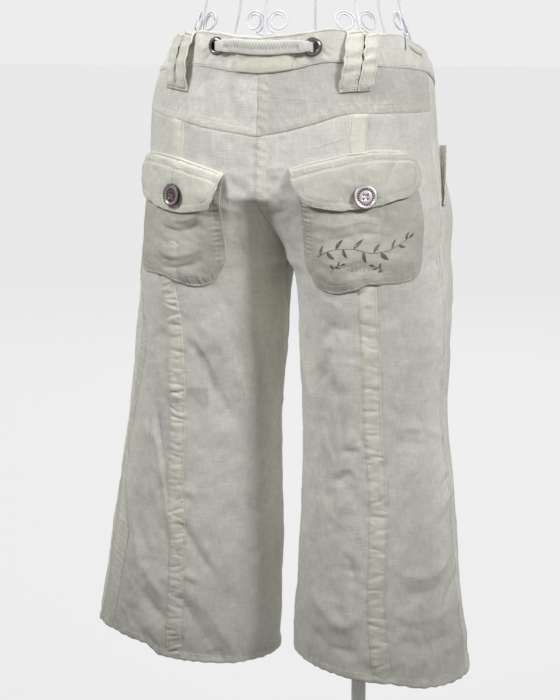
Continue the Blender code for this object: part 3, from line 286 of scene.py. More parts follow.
# creases of the cloth: half, width and height in mm (a trough is negative), and the points of its line as (distance behind the widest line, height) in mm
CREASES = (
    (1, 7, -1.7, ((116, 580), (125, 554), (139, 523), (147, 500), (160, 477), (176, 448))),  # trough beside the long diagonal
    (1, 14, 2.2, ((133, 597), (146, 570), (162, 540), (177, 505), (188, 467))),  # long diagonal ridge
    (1, 4, 1.7, ((68, 491), (74, 459), (83, 426), (94, 388), (105, 346), (114, 314))),  # ridge into the strip
    (1, 5, -1.3, ((80, 488), (87, 444), (96, 399), (105, 360))),  # trough between it and strip
    (1, 8, -1.0, ((51, 461), (68, 407), (87, 353), (97, 325))),  # outer soft trough
    (1, 5, 1.3, ((26, 399), (52, 347), (71, 304), (84, 253))),  # outer ridge
    (1, 7, 1.3, ((74, 309), (89, 287), (104, 273), (116, 267))),  # swag ridge left
    (1, 8, -2.2, ((83, 277), (99, 256), (116, 244), (125, 241))),  # swag trough left
    (1, 5, -1.4, ((108, 361), (119, 349), (134, 333), (154, 306), (168, 286))),  # lower diagonal trough
    (1, 8, 1.1, ((119, 367), (129, 353), (149, 327), (170, 297), (184, 276))),  # lower diagonal ridge
    (1, 9, -2.6, ((118, 290), (134, 265), (152, 240), (171, 217), (187, 198), (206, 172))),  # hem diagonal trough
    (1, 9, 2.0, ((120, 300), (137, 279), (161, 254), (183, 226), (207, 196), (222, 172))),  # hem diagonal ridge
    (1, 4, 0.9, ((123, 296), (138, 291), (154, 285))),  # pull ridge right
    (1, 4, -0.8, ((133, 290), (147, 279))),  # pull trough right
    (1, 4, 0.9, ((116, 294), (104, 283))),  # pull ridge left
    (1, 6, -1.6, ((194, 312), (219, 318), (260, 322))),  # inner trough
    (1, 8, 1.1, ((200, 299), (227, 304), (269, 305))),  # inner ridge
    (1, 6, -1.3, ((203, 601), (196, 554), (197, 509))),  # thigh trough 1
    (1, 5, -1.1, ((220, 610), (214, 566), (211, 530))),  # thigh trough 2
    (1, 6, 1.0, ((207, 598), (202, 548), (203, 517))),  # thigh ridge
    (1, 5, -0.9, ((240, 595), (235, 549), (237, 520))),  # thigh trough 3
    (1, 6, 1.0, ((216, 489), (224, 437), (239, 378))),  # shin ridge
    (1, 6, -1.1, ((205, 462), (215, 422), (225, 381))),  # shin trough
    (1, 5, -1.2, ((182, 378), (205, 361), (223, 377))),  # curl trough
    (1, 5, 0.8, ((185, 390), (202, 377), (217, 389))),  # curl ridge
    (1, 11, -1.2, ((102, 603), (95, 566), (94, 531))),  # outer thigh trough
    (1, 9, -1.0, ((172, 598), (190, 589))),  # under pocket trough
    (1, 9, 0.9, ((171, 572), (182, 558), (186, 542))),  # bright knob
    (1, 3, 0.6, ((117, 391), (132, 381))),  # strip pull 1
    (1, 3, -0.5, ((118, 384), (129, 375))),  # strip pull 2
    (1, 5, 0.8, ((100, 227), (113, 211))),  # low fold
    (1, 4, 0.8, ((54, 253), (72, 231))),  # low fold 2
    (1, 4, -0.9, ((64, 253), (82, 226))),  # low fold 3
    (1, 5, 0.9, ((165, 220), (177, 199))),  # low fold 4
    (-1, 6, 1.3, ((228, 600), (209, 548), (183, 504), (161, 469))),  # inner ridge
    (-1, 6, -1.8, ((199, 593), (181, 549), (165, 512), (148, 477), (140, 455))),  # inner trough
    (-1, 9, -1.7, ((162, 583), (144, 579), (127, 577))),  # hollow 1
    (-1, 12, -2.4, ((165, 542), (157, 526), (143, 512), (128, 503))),  # hollow 2
    (-1, 6, 0.8, ((164, 559), (146, 558))),  # between hollows
    (-1, 2.5, 0.9, ((201, 448), (178, 412), (164, 383), (156, 366))),  # thin diagonal
    (-1, 4, -1.0, ((141, 447), (127, 451), (114, 450))),  # hollow 3a
    (-1, 6, -2.1, ((148, 409), (139, 422), (125, 429))),  # hollow 3b
    (-1, 4, 0.9, ((129, 404), (138, 393), (147, 377))),  # hollow 3 ridge
    (-1, 4, -0.9, ((152, 397), (152, 374))),  # hollow 3c
    (-1, 7, -2.3, ((135, 342), (136, 320), (134, 300))),  # oval
    (-1, 3, 0.8, ((143, 337), (144, 311))),  # oval lip
    (-1, 10, 2.2, ((196, 298), (179, 277), (162, 262), (147, 262), (132, 275), (121, 292))),  # broad U ridge
    (-1, 9, -2.7, ((212, 263), (188, 245), (168, 235), (149, 235), (132, 242))),  # broad U trough
    (-1, 5, 1.1, ((86, 471), (66, 473), (38, 467), (-7, 449))),  # side ridge
    (-1, 5, -0.9, ((84, 462), (61, 458), (31, 452))),  # side trough
    (-1, 4, -0.9, ((55, 494), (44, 475), (41, 457))),  # arc
    (-1, 7, 1.5, ((94, 326), (74, 315), (52, 312), (27, 320), (2, 334))),  # low ridge
    (-1, 8, -1.5, ((92, 308), (70, 298), (43, 298), (13, 310))),  # low trough
    (-1, 5, -1.6, ((30, 268), (18, 290), (-8, 309))),  # edge trough
    (-1, 5, 1.1, ((15, 261), (-15, 279))),  # edge ridge
    (-1, 8, 1.5, ((100, 280), (79, 268), (47, 266), (12, 272))),  # hem ridge
    (-1, 10, -2.2, ((101, 255), (77, 242), (45, 242), (6, 244))),  # hem trough
    (-1, 4, 1.1, ((75, 262), (71, 236), (70, 210))),  # hem wedge 1
    (-1, 4, -1.0, ((67, 259), (62, 235), (58, 210))),  # hem wedge 2
    (-1, 4, 1.0, ((45, 241), (30, 222))),  # hem wedge 3
    (-1, 5, -1.0, ((95, 249), (94, 225))),  # hem wedge 4
    (-1, 5, -1.2, ((21, 532), (-4, 503), (-31, 488))),  # outer pinch
    (-1, 6, 0.9, ((38, 369), (12, 388), (-27, 403))),  # outer soft 1
    (-1, 6, -0.9, ((45, 389), (22, 405), (-10, 420))),  # outer soft 2
    (-1, 3, 0.5, ((85, 447), (68, 448), (49, 442))),  # tiny 1
    (-1, 3, -0.5, ((79, 507), (72, 521), (66, 535))),  # tiny 2
    (-1, 3, 0.6, ((100, 324), (89, 335))),  # strip pull
    (-1, 6, 0.9, ((219, 360), (199, 333), (196, 307))),  # left fold
    (-1, 5, -0.9, ((194, 355), (185, 330), (185, 304))),  # left fold 2
    (-1, 8, -0.9, ((85, 610), (76, 578), (70, 546))),  # top fold
    (-1, 8, 0.7, ((53, 608), (46, 570), (42, 533))),  # top fold 2
    (1, 5, -0.6, ((148, 840), (158, 815))),  # yoke vertical 1
    (1, 6, 0.6, ((165, 836), (174, 808))),  # yoke vertical 2
    (1, 5, -0.5, ((186, 834), (194, 804))),  # yoke vertical 3
    (1, 5, 0.5, ((202, 830), (210, 800))),  # yoke vertical 4
    (1, 4, -0.7, ((144, 788), (146, 759))),  # beside strip
    (1, 5, -0.4, ((201, 730), (218, 724), (232, 720))),  # seat drag 1
    (1, 5, 0.4, ((197, 740), (217, 734), (233, 731))),  # seat drag 2
    (1, 4, -1.0, ((230, 710), (228, 682), (243, 638))),  # crotch line 1
    (1, 4, 0.8, ((214, 704), (211, 665), (224, 625))),  # crotch line 2
    (-1, 5, -0.9, ((72, 839), (80, 821), (86, 803))),  # yoke fold 1
    (-1, 6, 0.7, ((60, 835), (71, 817), (78, 802))),  # yoke fold 2
    (-1, 6, -0.6, ((44, 830), (56, 814), (66, 802))),  # yoke fold 3
    (-1, 6, 0.5, ((22, 832), (33, 814), (45, 804))),  # yoke fold 4
    (-1, 7, -0.5, ((182, 828), (184, 801))),  # yoke fold 5
    (-1, 7, 0.5, ((160, 833), (166, 805))),  # yoke fold 6
    (-1, 4, -0.45, ((219, 731), (210, 727), (198, 722))),  # seat drag 1
    (-1, 4, 0.45, ((216, 737), (205, 735), (197, 731))),  # seat drag 2
    (-1, 4, 0.4, ((222, 719), (212, 717), (201, 712))),  # seat drag 3
    (-1, 4, -0.4, ((224, 713), (213, 711), (202, 705))),  # seat drag 4
    (-1, 4, -0.9, ((227, 704), (238, 674), (237, 641))),  # crotch line 1
    (-1, 4, 0.8, ((219, 706), (213, 681), (204, 657))),  # crotch line 2
    (-1, 6, -0.7, ((13, 792), (13, 767))),  # hip vertical 1
    (-1, 5, 0.6, ((30, 795), (31, 765))),  # hip vertical 2
    (-1, 6, -0.5, ((67, 794), (68, 768))),  # hip vertical 3
    (-1, 5, -0.5, ((154, 787), (158, 765))),  # seat vertical 1
    (-1, 5, 0.5, ((140, 789), (144, 767))),  # seat vertical 2
    (-1, 5, -0.8, ((27, 731), (38, 693), (30, 657))),  # hip side fold
    (1, 1.7, -0.75, ((124, 568), (131, 552), (139, 535), (149, 510), (160, 485), (172, 463))),  # sharp line of the long diagonal
    (1, 1.5, 0.55, ((131, 567), (134, 552), (144, 533), (147, 513), (157, 492))),  # thin light line beside it
    (1, 1.3, 0.45, ((62, 526), (81, 528), (96, 527))),  # thin line 1
    (1, 1.3, 0.45, ((71, 490), (84, 486), (96, 484))),  # thin line 2
    (1, 3.4, -1.1, ((76, 489), (84, 455), (91, 422), (98, 398))),  # dark fold beside the strip
    (1, 3.0, 1.0, ((66, 478), (64, 452), (71, 428), (86, 398))),  # light wedge left of it
    (1, 3.2, -0.5, ((190, 722), (200, 712), (214, 706))),  # seat, left
    (1, 2.8, 0.45, ((196, 728), (206, 718), (220, 713))),
    (1, 2.6, -0.4, ((206, 732), (214, 724), (226, 720))),
    (1, 2.8, 0.5, ((184, 712), (194, 703), (204, 698))),
    (1, 3.2, 0.6, ((204, 700), (216, 695), (228, 694))),
    (1, 3.0, -0.45, ((176, 745), (186, 741), (200, 741))),
    (1, 3.0, 0.4, ((186, 752), (198, 749), (212, 746))),
    (-1, 3.0, -0.45, ((196, 742), (205, 734), (218, 730))),  # seat, right
    (-1, 2.8, 0.45, ((192, 734), (202, 726), (214, 722))),
    (-1, 2.6, -0.4, ((194, 724), (204, 717), (216, 715))),
    (-1, 2.6, 0.5, ((198, 715), (208, 709), (222, 706))),
    (-1, 2.6, -0.45, ((196, 706), (206, 700), (218, 697))),
    (-1, 3.0, 0.5, ((200, 696), (210, 690), (220, 688))),
    (-1, 2.6, 0.7, ((190, 748), (200, 744), (216, 742))),
    (-1, 2.0, 0.45, ((166, 610), (152, 605), (138, 600))),  # slub lines
    (-1, 1.6, 0.40, ((135, 545), (124, 543), (112, 542))),
    (-1, 5.0, -1.0, ((158, 548), (152, 533), (140, 506), (134, 470), (134, 440))),
    (-1, 3.4, -0.9, ((169, 511), (157, 480), (148, 460), (143, 429))),
    (-1, 3.0, 0.8, ((176, 500), (165, 474), (155, 450), (150, 424))),
    (-1, 3.5, -0.4, ((133, 446), (124, 450), (114, 452))),
)
# creases on the front, which is hidden in the photo's view
FRONT_CREASES = (
    (1, 7, -1.4, ((-228, 690), (-196, 676), (-160, 668))),  # crotch whiskers
    (1, 6, 1.0, ((-226, 700), (-192, 690), (-150, 684))),
    (1, 7, -1.1, ((-224, 718), (-190, 712), (-140, 716))),
    (1, 6, 0.9, ((-220, 664), (-190, 646), (-160, 640))),
    (1, 12, 1.6, ((-120, 640), (-124, 560), (-130, 470), (-128, 380))),  # front fold of the leg
    (1, 9, -1.5, ((-150, 610), (-156, 540), (-166, 470), (-170, 400))),
    (1, 8, -1.3, ((-80, 560), (-92, 500), (-98, 430))),
    (1, 8, 1.2, ((-60, 470), (-74, 400), (-70, 330))),
    (1, 10, -2.0, ((-190, 380), (-176, 330), (-150, 286), (-140, 240))),
    (1, 9, 1.6, ((-172, 370), (-156, 322), (-132, 280))),
    (1, 8, -1.8, ((-60, 300), (-80, 262), (-110, 232))),
    (1, 8, 1.5, ((-50, 282), (-70, 244), (-96, 212))),
    (1, 5, 0.9, ((-230, 330), (-214, 300), (-206, 250))),
    (1, 6, -1.0, ((-110, 420), (-130, 408), (-156, 412))),
    (1, 6, 0.9, ((-30, 640), (-50, 620), (-84, 612))),
    (-1, 7, -1.3, ((-226, 692), (-190, 680), (-150, 676))),
    (-1, 6, 1.1, ((-224, 704), (-186, 698), (-146, 700))),
    (-1, 7, -1.1, ((-222, 670), (-196, 650), (-170, 640))),
    (-1, 13, 1.7, ((-118, 630), (-112, 560), (-118, 480), (-124, 400), (-120, 330))),
    (-1, 9, -1.6, ((-146, 600), (-140, 520), (-148, 440))),
    (-1, 8, -1.3, ((-86, 540), (-80, 470), (-88, 410))),
    (-1, 8, 1.2, ((-180, 480), (-186, 420), (-176, 350))),
    (-1, 9, -1.9, ((-70, 330), (-96, 296), (-130, 280), (-160, 290))),
    (-1, 9, 1.6, ((-64, 346), (-94, 314), (-128, 298), (-158, 306))),
    (-1, 8, -1.7, ((-170, 280), (-150, 240), (-146, 205))),
    (-1, 7, 1.3, ((-186, 270), (-168, 232), (-162, 203))),
    (-1, 5, 0.8, ((-54, 430), (-60, 400), (-80, 380))),
    (-1, 6, -0.9, ((-200, 380), (-184, 366), (-160, 362))),
    (-1, 6, 0.8, ((-36, 660), (-60, 640), (-90, 636))),
)


# ---------------------------------------------------------------- number helpers
def table(rows, at):
    """The columns of a table at the values `at` of its first column, by a monotone cubic."""
    a = np.array(sorted(rows), float)
    x, y = a[:, 0], a[:, 1:]
    at = np.clip(np.asarray(at, float), x[0], x[-1])
    d = np.diff(y, axis=0) / np.diff(x)[:, None]
    m = np.zeros_like(y)
    m[0], m[-1] = d[0], d[-1]
    same = d[:-1] * d[1:] > 0
    m[1:-1] = np.where(same, 2 * d[:-1] * d[1:] / np.where(same, d[:-1] + d[1:], 1), 0)
    i = np.clip(np.searchsorted(x, at, side="right") - 1, 0, len(x) - 2)
    h = (x[i + 1] - x[i])[..., None]
    t = (at - x[i])[..., None] / h
    return (
        (2 * t**3 - 3 * t**2 + 1) * y[i]
        + (t**3 - 2 * t**2 + t) * h * m[i]
        + (3 * t**2 - 2 * t**3) * y[i + 1]
        + (t**3 - t**2) * h * m[i + 1]
    )


def power(v, p):
    return np.sign(v) * np.abs(v) ** p


def smooth(a, b, x):
    t = np.clip((np.asarray(x, float) - a) / (b - a), 0, 1)
    return t * t * (3 - 2 * t)


def lattice(i, j, k, seed):
    """A fixed pseudo-random number from -1 to 1 at each point of a whole-number lattice."""
    m = 0xFFFFFFFF
    h = (i * 374761393 + j * 668265263 + k * 1103515245 + seed * 1274126177) & m
    h = ((h ^ (h >> 13)) * 1274126177) & m
    h = ((h ^ (h >> 15)) * 668265263) & m
    return ((h >> 8) & 0xFFFF) / 32767.5 - 1


def noise(p, seed):
    """Smooth noise at points (..., 3)."""
    i = np.floor(p).astype(np.int64)
    f = p - i
    u = f * f * f * (f * (f * 6 - 15) + 10)
    out = 0.0
    for a in (0, 1):
        for b in (0, 1):
            for c in (0, 1):
                w = (
                    (u[..., 0] if a else 1 - u[..., 0])
                    * (u[..., 1] if b else 1 - u[..., 1])
                    * (u[..., 2] if c else 1 - u[..., 2])
                )
                out = out + w * lattice(i[..., 0] + a, i[..., 1] + b, i[..., 2] + c, seed)
    return out


def through(points, steps=6):
    """A smooth line through the points."""
    p = np.asarray(points, float)
    if len(p) < 3:
        t = np.linspace(0, 1, steps + 1)[:, None]
        return p[0] + (p[1] - p[0]) * t
    q = np.concatenate([[2 * p[0] - p[1]], p, [2 * p[-1] - p[-2]]])
    out = []
    for k in range(1, len(q) - 2):
        a, b, c, d = q[k - 1], q[k], q[k + 1], q[k + 2]
        for t in np.arange(steps) / steps:
            out.append(
                0.5 * (2 * b + (c - a) * t + (2 * a - 5 * b + 4 * c - d) * t**2 + (3 * b - a - 3 * c + d) * t**3)
            )
    out.append(p[-1])
    return np.array(out)


def near_line(points, line):
    """How far points (n, 2) are from a line, and at what share of its length."""
    seg = np.diff(line, axis=0)
    size = np.linalg.norm(seg, axis=1)
    run = np.concatenate([[0], np.cumsum(size)])
    best, at, hand = np.full(len(points), 1e9), np.zeros(len(points)), np.zeros(len(points))
    for k in range(len(seg)):
        if size[k] < 1e-9:
            continue
        d = points - line[k]
        t = np.clip(d @ seg[k] / size[k] ** 2, 0, 1)
        e = ((d - t[:, None] * seg[k]) ** 2).sum(1)
        closer = e < best
        best[closer], at[closer] = e[closer], (run[k] + t[closer] * size[k]) / run[-1]
        hand[closer] = (d[:, 0] * seg[k][1] - d[:, 1] * seg[k][0])[closer]
    return np.sqrt(best), at, hand


class Pucker:
    """An uneven ripple along a seam: its waves change in length and height as they go."""

    def __init__(self, seed, low, high, wave, uneven=0.35, calm=0.25):
        r = np.random.RandomState(seed)
        self.x = np.arange(low, high, 0.0004)
        n = int((high - low) / wave) + 4
        knots = np.linspace(low, high, n)
        pace = np.interp(self.x, knots, 1 + uneven * r.uniform(-1, 1, n))
        size = np.interp(self.x, knots, calm + (1 - calm) * r.uniform(0, 1, n))
        self.y = size * np.sin(2 * np.pi * np.cumsum(pace) * 0.0004 / wave)

    def __call__(self, x):
        return np.interp(x, self.x, self.y)


# ---------------------------------------------------------------- the cloth surface and its creases
def sections(side, z, n=481):
    """One half of the garment at heights z, each row from the centre back or inseam, round the outseam, to the front."""
    z = np.asarray(z, float)
    p = np.linspace(0, 1, n)[None, :]
    half, behind, front, sq_b, sq_f = (c[:, None] for c in table(PELVIS[side], z).T)
    inner, wide, leg_b, leg_f, mid, turn = (c[:, None] for c in table(LEG[side], z).T)
    seam_b, seam_f = (c[:, None] for c in table(CROTCH, z).T)
    even = np.where(p <= 0.5, 0.5 * (2 * p) ** 1.9, 1 - 0.5 * (2 * (1 - p)) ** 1.9)
    c, s = np.cos(np.pi * even), np.sin(np.pi * even)
    square = np.where(c > 0, sq_b, sq_f)
    px = half * power(s, 2 / square) + GAP / 2
    py = np.where(c > 0, behind, front) * power(c, 2 / square)
    around = 2 * np.pi * (p - turn)
    lx = inner + wide / 2 - wide / 2 * np.cos(around)
    ly = mid + np.where(np.sin(around) > 0, leg_b, leg_f) * np.sin(around)
    zz = z[:, None]
    w_b = np.clip((seam_b - mid) / (0.1235 - mid), 0, 1)
    w_f = np.clip((mid - seam_f) / (mid + 0.1000), 0, 1)
    w_b = np.where(zz >= Z_SEAT, 1, np.where(zz <= Z_CROTCH, 0, w_b))
    w_f = np.where(zz >= Z_SEAT, 1, np.where(zz <= Z_CROTCH, 0, w_f))
    w = w_b * (1 - p) + w_f * p
    return np.stack([side * ((1 - w) * lx + w * px), (1 - w) * ly + w * py, zz + 0 * p], -1)


STRIP_HALF = {1: 0.0089, -1: 0.0096}  # half widths of the two strips
STRIP_TILT = {1: Pucker(5, 0.15, 0.85, 0.045, 0.5, 0.3), -1: Pucker(6, 0.15, 0.85, 0.050, 0.5, 0.3)}
SEAM_PUCKER = {1: Pucker(41, 0.15, 0.95, 0.0068, 0.35, 0.35), -1: Pucker(43, 0.15, 0.95, 0.0072, 0.35, 0.35)}


def strip_middle(side, z):
    return table(STRIP, z)[..., 0 if side > 0 else 1] - (0.0012 if side > 0 else 0.0)


def strip_tucks(side):
    """The short puckers that the stitching draws in a strip: where each starts, on which edge, how far it runs in, its slant, width and depth."""
    r = np.random.RandomState(311 + side)
    rows, z = [], 0.205
    while z < 0.755:
        # one right across
        rows.append((z, 1 if r.uniform() < 0.75 else -1, r.uniform(1.05, 1.7), r.uniform(-0.42, 0.36), r.uniform(0.0012, 0.0024), r.uniform(0.25, 0.95), r.uniform(-1, 1)))
        step = r.uniform(0.0058, 0.0130)
        # and small ones at the edges between them
        for start in (1, -1):
            if r.uniform() < (0.75 if start > 0 else 0.5):
                rows.append((z + step * r.uniform(0.35, 0.65), start, r.uniform(0.25, 0.55), r.uniform(-0.5, 0.5), r.uniform(0.0010, 0.0015), r.uniform(0.35, 0.75), 0.0))
        z += step
    return rows


STRIP_TUCKS = {1: strip_tucks(1), -1: strip_tucks(-1)}


def strip_ripple(side, s, z):
    """The puckers of the strip down the back leg, about -1 to 1: folds from its edges, dying out on the way across and in the cloth beside."""
    s, z = np.broadcast_arrays(np.asarray(s, float), np.asarray(z, float))
    a = s - strip_middle(side, z)
    half = STRIP_HALF[side]
    out = 0.30 * noise(np.stack([a / 0.0070, z / 0.0060, 0 * a + side], -1), 31) * (np.abs(a) < half + 0.003)
    for z0, start, reach, slant, w, deep, bow in STRIP_TUCKS[side]:
        m = (np.abs(z - z0) < 0.016) & (np.abs(a) < half + 0.010)
        if not m.any():
            continue
        run = half - start * a[m]
        t = run / (2 * half * reach)
        d = z[m] - z0 - slant * run - 0.0016 * bow * np.sin(np.clip(run / half, -0.5, 2.5) * 1.6)
        fade = np.where(t < 0, np.exp(-((run / 0.0042) ** 2)), np.clip(1 - t, 0, 1) ** 0.6)
        out[m] += fade * deep * (0.62 * np.exp(-(((d + 2.1 * w) / (1.9 * w)) ** 2)) - np.exp(-((d / w) ** 2)))
    strength = np.where(side > 0, 1.0 - 0.35 * smooth(0.70, 0.78, z), 0.55 + 0.35 * smooth(0.56, 0.46, z))
    return out * strength


FELL_IN = ((0.18, 0.036), (0.25, 0.039), (0.32, 0.040), (0.36, 0.028), (0.40, 0.018), (0.46, 0.016), (0.50, 0.014), (0.54, 0.015), (0.60, 0.010), (0.90, 0.0088))
# lines on the cloth, as height and distance behind the widest line
WEDGE = ((0.310, 0.113), (0.354, 0.099), (0.396, 0.089), (0.443, 0.079), (0.489, 0.073), (0.525, 0.069))
BAND_IN = ((0.287, 0.165), (0.349, 0.173), (0.412, 0.178), (0.465, 0.181), (0.517, 0.198), (0.559, 0.211), (0.578, 0.228))
BAND_OUT = ((0.287, 0.155), (0.349, 0.158), (0.415, 0.162), (0.468, 0.166), (0.520, 0.179), (0.557, 0.190), (0.578, 0.200))


def fell_band(side, s, z):
    """Where the outseam's doubled cloth shows: wide and puckered down the left leg, narrow on the right."""
    d = s - table(OUTSEAM, z)[..., 0 if side > 0 else 1]
    if side < 0:
        return smooth(0.0092, 0.0080, np.abs(d))
    reach = table(FELL_IN, z)[..., 0]
    return np.where(d > 0, smooth(reach + 0.0006, reach - 0.0006, d), smooth(-0.0260, -0.0245, d))


def crumples(side):
    """Small sharp creases that a washed linen keeps: mostly level or aslant, short and shallow."""
    r = np.random.RandomState(70 + side)
    rows = []
    for _ in range(330):
        s, z = r.uniform(-0.24, 0.24), r.uniform(0.205, 0.835)
        if z > 0.765:
            a = r.normal(1.5, 0.35)
        else:
            a = r.choice([r.normal(0, 0.35), r.normal(1.2, 0.3), r.normal(-0.9, 0.4)], p=[0.5, 0.25, 0.25])
        half = r.uniform(0.005, 0.019)
        bend = r.uniform(-0.25, 0.25) * half
        dx, dz = math.cos(a), math.sin(a)
        rows.append((
            r.uniform(1.6, 3.2),
            r.choice([-1, 1]) * r.uniform(0.16, 0.52),
            ((1000 * (s - half * dx), 1000 * (z - half * dz)), (1000 * (s - bend * dz), 1000 * (z + bend * dx)), (1000 * (s + half * dx), 1000 * (z + half * dz))),
        ))
    # long soft upright wrinkles of the yoke and the hip
    for _ in range(44):
        s, z, half = r.uniform(-0.22, 0.235), r.uniform(0.765, 0.835), r.uniform(0.010, 0.026)
        lean = r.normal(0, 0.16) * half
        rows.append((r.uniform(2.6, 4.8), r.choice([-1, 1]) * r.uniform(0.30, 0.75), ((1000 * (s - lean), 1000 * (z + half)), (1000 * (s + 0.4 * lean), 1000 * z), (1000 * (s + lean), 1000 * (z - half)))))
    return rows


def crease(s, z, width, height, points):
    """Height of one crease all over the cloth. It fades out at both ends, and is a little uneven along its line."""
    line = through(np.array(points, float) * 0.001)
    w = width * 0.001
    low, high = line.min(0) - 2.7 * w, line.max(0) + 2.7 * w
    m = (s > low[0]) & (s < high[0]) & (z > low[1]) & (z < high[1])
    out = np.zeros_like(s)
    if m.any():
        d, at, hand = near_line(np.stack([s[m], z[m]], 1), line)
        # cloth folds over more sharply on one side: below a ridge, above a trough
        lower = hand * np.sign(line[-1, 0] - line[0, 0] + 1e-9) * np.sign(height) > 0
        d = d / np.where(lower, 0.62, 1.30)
        fade = smooth(0, 0.32, at) * smooth(1, 0.68, at)
        size = 1 + 0.16 * np.sin(at * 11 + points[0][0]) + 0.10 * np.sin(at * 23 + points[0][1])
        out[m] = 0.001 * height * size * fade * np.exp(-((d / w) ** 1.5))
    return out


def relief(side, s, z, p):
    """How far the cloth stands out from its plain surface, creases and all."""
    out = np.zeros_like(s)
    for row in CREASES + FRONT_CREASES:
        if row[0] == side:
            width, height, points = row[1:]
            out += crease(s, z, width, height * (1.30 if width < 9 else 1.15 if height > 0 else 0.95), points)
    for row in crumples(side):
        out += crease(s, z, *row)
    low = smooth(0.86, 0.60, z)
    out += (0.0006 + 0.0008 * low) * noise(p / np.array([0.052, 0.052, 0.085]), 3)
    out += (0.00034 + 0.00065 * low) * noise(p / np.array([0.017, 0.017, 0.024]), 5)
    out += (0.00022 + 0.00024 * low) * noise(p / np.array([0.0075, 0.0075, 0.0095]), 7)
    out += 0.00009 * noise(p / np.array([0.0040, 0.0040, 0.0046]), 8)
    # the strips' stitching puckers the cloth beside them
    out += 0.00046 * strip_ripple(side, s, z) * (s > 0)
    # the outseam's
    k = table(OUTSEAM, z)[..., 0 if side > 0 else 1]
    if side > 0:
        out += (0.00050 * SEAM_PUCKER[side](z + 0.25 * (s - k)) + 0.00030 * SEAM_PUCKER[-1](1.3 * z - 0.1 - 0.2 * (s - k))) * fell_band(side, s, z) * smooth(0.76, 0.66, z)
        reach = table(FELL_IN, z)[..., 0]
        out -= 0.00014 * np.exp(-(((s - k - reach) / 0.0014) ** 2)) * smooth(0.62, 0.56, z)
    else:
        out += 0.00050 * SEAM_PUCKER[side](z + 0.3 * (s - k)) * np.exp(-(((s - k - 0.001) / 0.0085) ** 2)) * smooth(0.76, 0.66, z)
    # the hems turn in a little
    out -= 0.0034 * smooth(0.236, 0.196, z)
    # the seat's cloth bends unevenly into the crotch
    out += 0.0011 * noise(np.stack([s / 0.013, z / 0.009, 0 * s + 3.0 * side], -1), 12) * np.exp(-(((z - 0.706) / 0.011) ** 2)) * smooth(0.175, 0.195, s)
    # the legs don't touch at the crotch
    near = smooth(0.003, 0.020, np.abs(p[..., 0]))
    out = np.where((z > 0.59) & (z < Z_SEAT), out * near - 0.0004 * (1 - near), out)
    return out


class Half:
    """The surface of one half, read by height and by distance along the cloth from its widest line, positive to the back."""

    def __init__(self, side, low=0.176, high=0.896, step=0.00125, n=481):
        self.side, self.low, self.step = side, low, step
        self.z = np.arange(low, high + step / 2, step)
        raw = sections(side, self.z)
        seg = np.linalg.norm(np.diff(raw, axis=1), axis=2)
        run = np.concatenate([np.zeros((len(self.z), 1)), np.cumsum(seg, 1)], 1)
        k = (raw.shape[1] - 1) // 2
        self.back, self.front = run[:, k], run[:, -1] - run[:, k]
        h = (n - 1) // 2
        rows = []
        for r, u in zip(raw, run):
            s = np.concatenate([np.linspace(0, u[k], h + 1), np.linspace(u[k], u[-1], h + 1)[1:]])
            rows.append(np.stack([np.interp(s, u, r[:, j]) for j in range(3)], 1))
        self.plain, self.h = np.array(rows), h
        share = np.arange(n) / h
        s = np.where(share <= 1, self.back[:, None] * (1 - share), self.front[:, None] * (1 - share))
        zz = self.z[:, None] + 0 * s
        self.flat_normal = self.normals(self.plain)
        self.grid = self.plain + self.flat_normal * relief(side, s, zz, self.plain)[..., None]
        self.normal = self.normals(self.grid)

    def normals(self, g):
        n = np.cross(np.gradient(g, axis=1), np.gradient(g, axis=0)) * -self.side
        return n / np.maximum(np.linalg.norm(n, axis=2, keepdims=True), 1e-12)

    def length(self, z):
        """Cloth from the widest line to the back edge, and to the front edge, at heights z."""
        return np.interp(z, self.z, self.back), np.interp(z, self.z, self.front)

    def at(self, s, z, lift=0.0):
        s, z, lift = np.broadcast_arrays(np.asarray(s, float), np.asarray(z, float), np.asarray(lift, float))
        b, f = self.length(z)
        share = np.where(s >= 0, 1 - s / b, 1 - s / f)
        i = np.clip((z - self.low) / self.step, 0, len(self.z) - 1.001)
        j = np.clip(share * self.h, 0, 2 * self.h - 0.001)
        i0, j0 = i.astype(int), j.astype(int)
        a, c = (i - i0)[..., None], (j - j0)[..., None]

        def mix(g):
            return (1 - a) * ((1 - c) * g[i0, j0] + c * g[i0, j0 + 1]) + a * ((1 - c) * g[i0 + 1, j0] + c * g[i0 + 1, j0 + 1])

        nrm = mix(self.normal)
        nrm = nrm / np.linalg.norm(nrm, axis=-1, keepdims=True)
        return mix(self.grid) + nrm * lift[..., None], nrm


HALF = {1: Half(1), -1: Half(-1)}


def round_at(q, z, lift=0.0):
    """A point by its distance q from the centre back along the cloth, positive round the left side; past the centre front it goes on to the other half."""
    q, z, lift = np.broadcast_arrays(np.asarray(q, float), np.asarray(z, float), np.asarray(lift, float))
    lb, lf = HALF[1].length(z)
    rb, rf = HALF[-1].length(z)
    over = q > lb + lf
    side = np.where((q >= 0) & ~over, 1, -1)
    back = np.where(side > 0, lb, rb)
    from_back = np.where(over, (rb + rf) - (q - lb - lf), np.abs(q))
    s = back - from_back
    out, nrm = np.zeros(q.shape + (3,)), np.zeros(q.shape + (3,))
    for k in (1, -1):
        m = side == k
        if m.any():
            out[m], nrm[m] = HALF[k].at(s[m], z[m], lift[m])
    return out, nrm


def edge(rows, side, q):
    return table(rows, np.abs(q))[..., 0 if side > 0 else 1]


def seam_line(side, z):
    return table(OUTSEAM, z)[..., 0 if side > 0 else 1]


def across_panel(side, back, z, u):
    """Distance from the widest line at heights z, at shares u of the way from the outseam to the other edge of a panel."""
    b, f = HALF[side].length(z)
    k = seam_line(side, z)
    return k + (b - k) * u if back else k - (f + k) * u


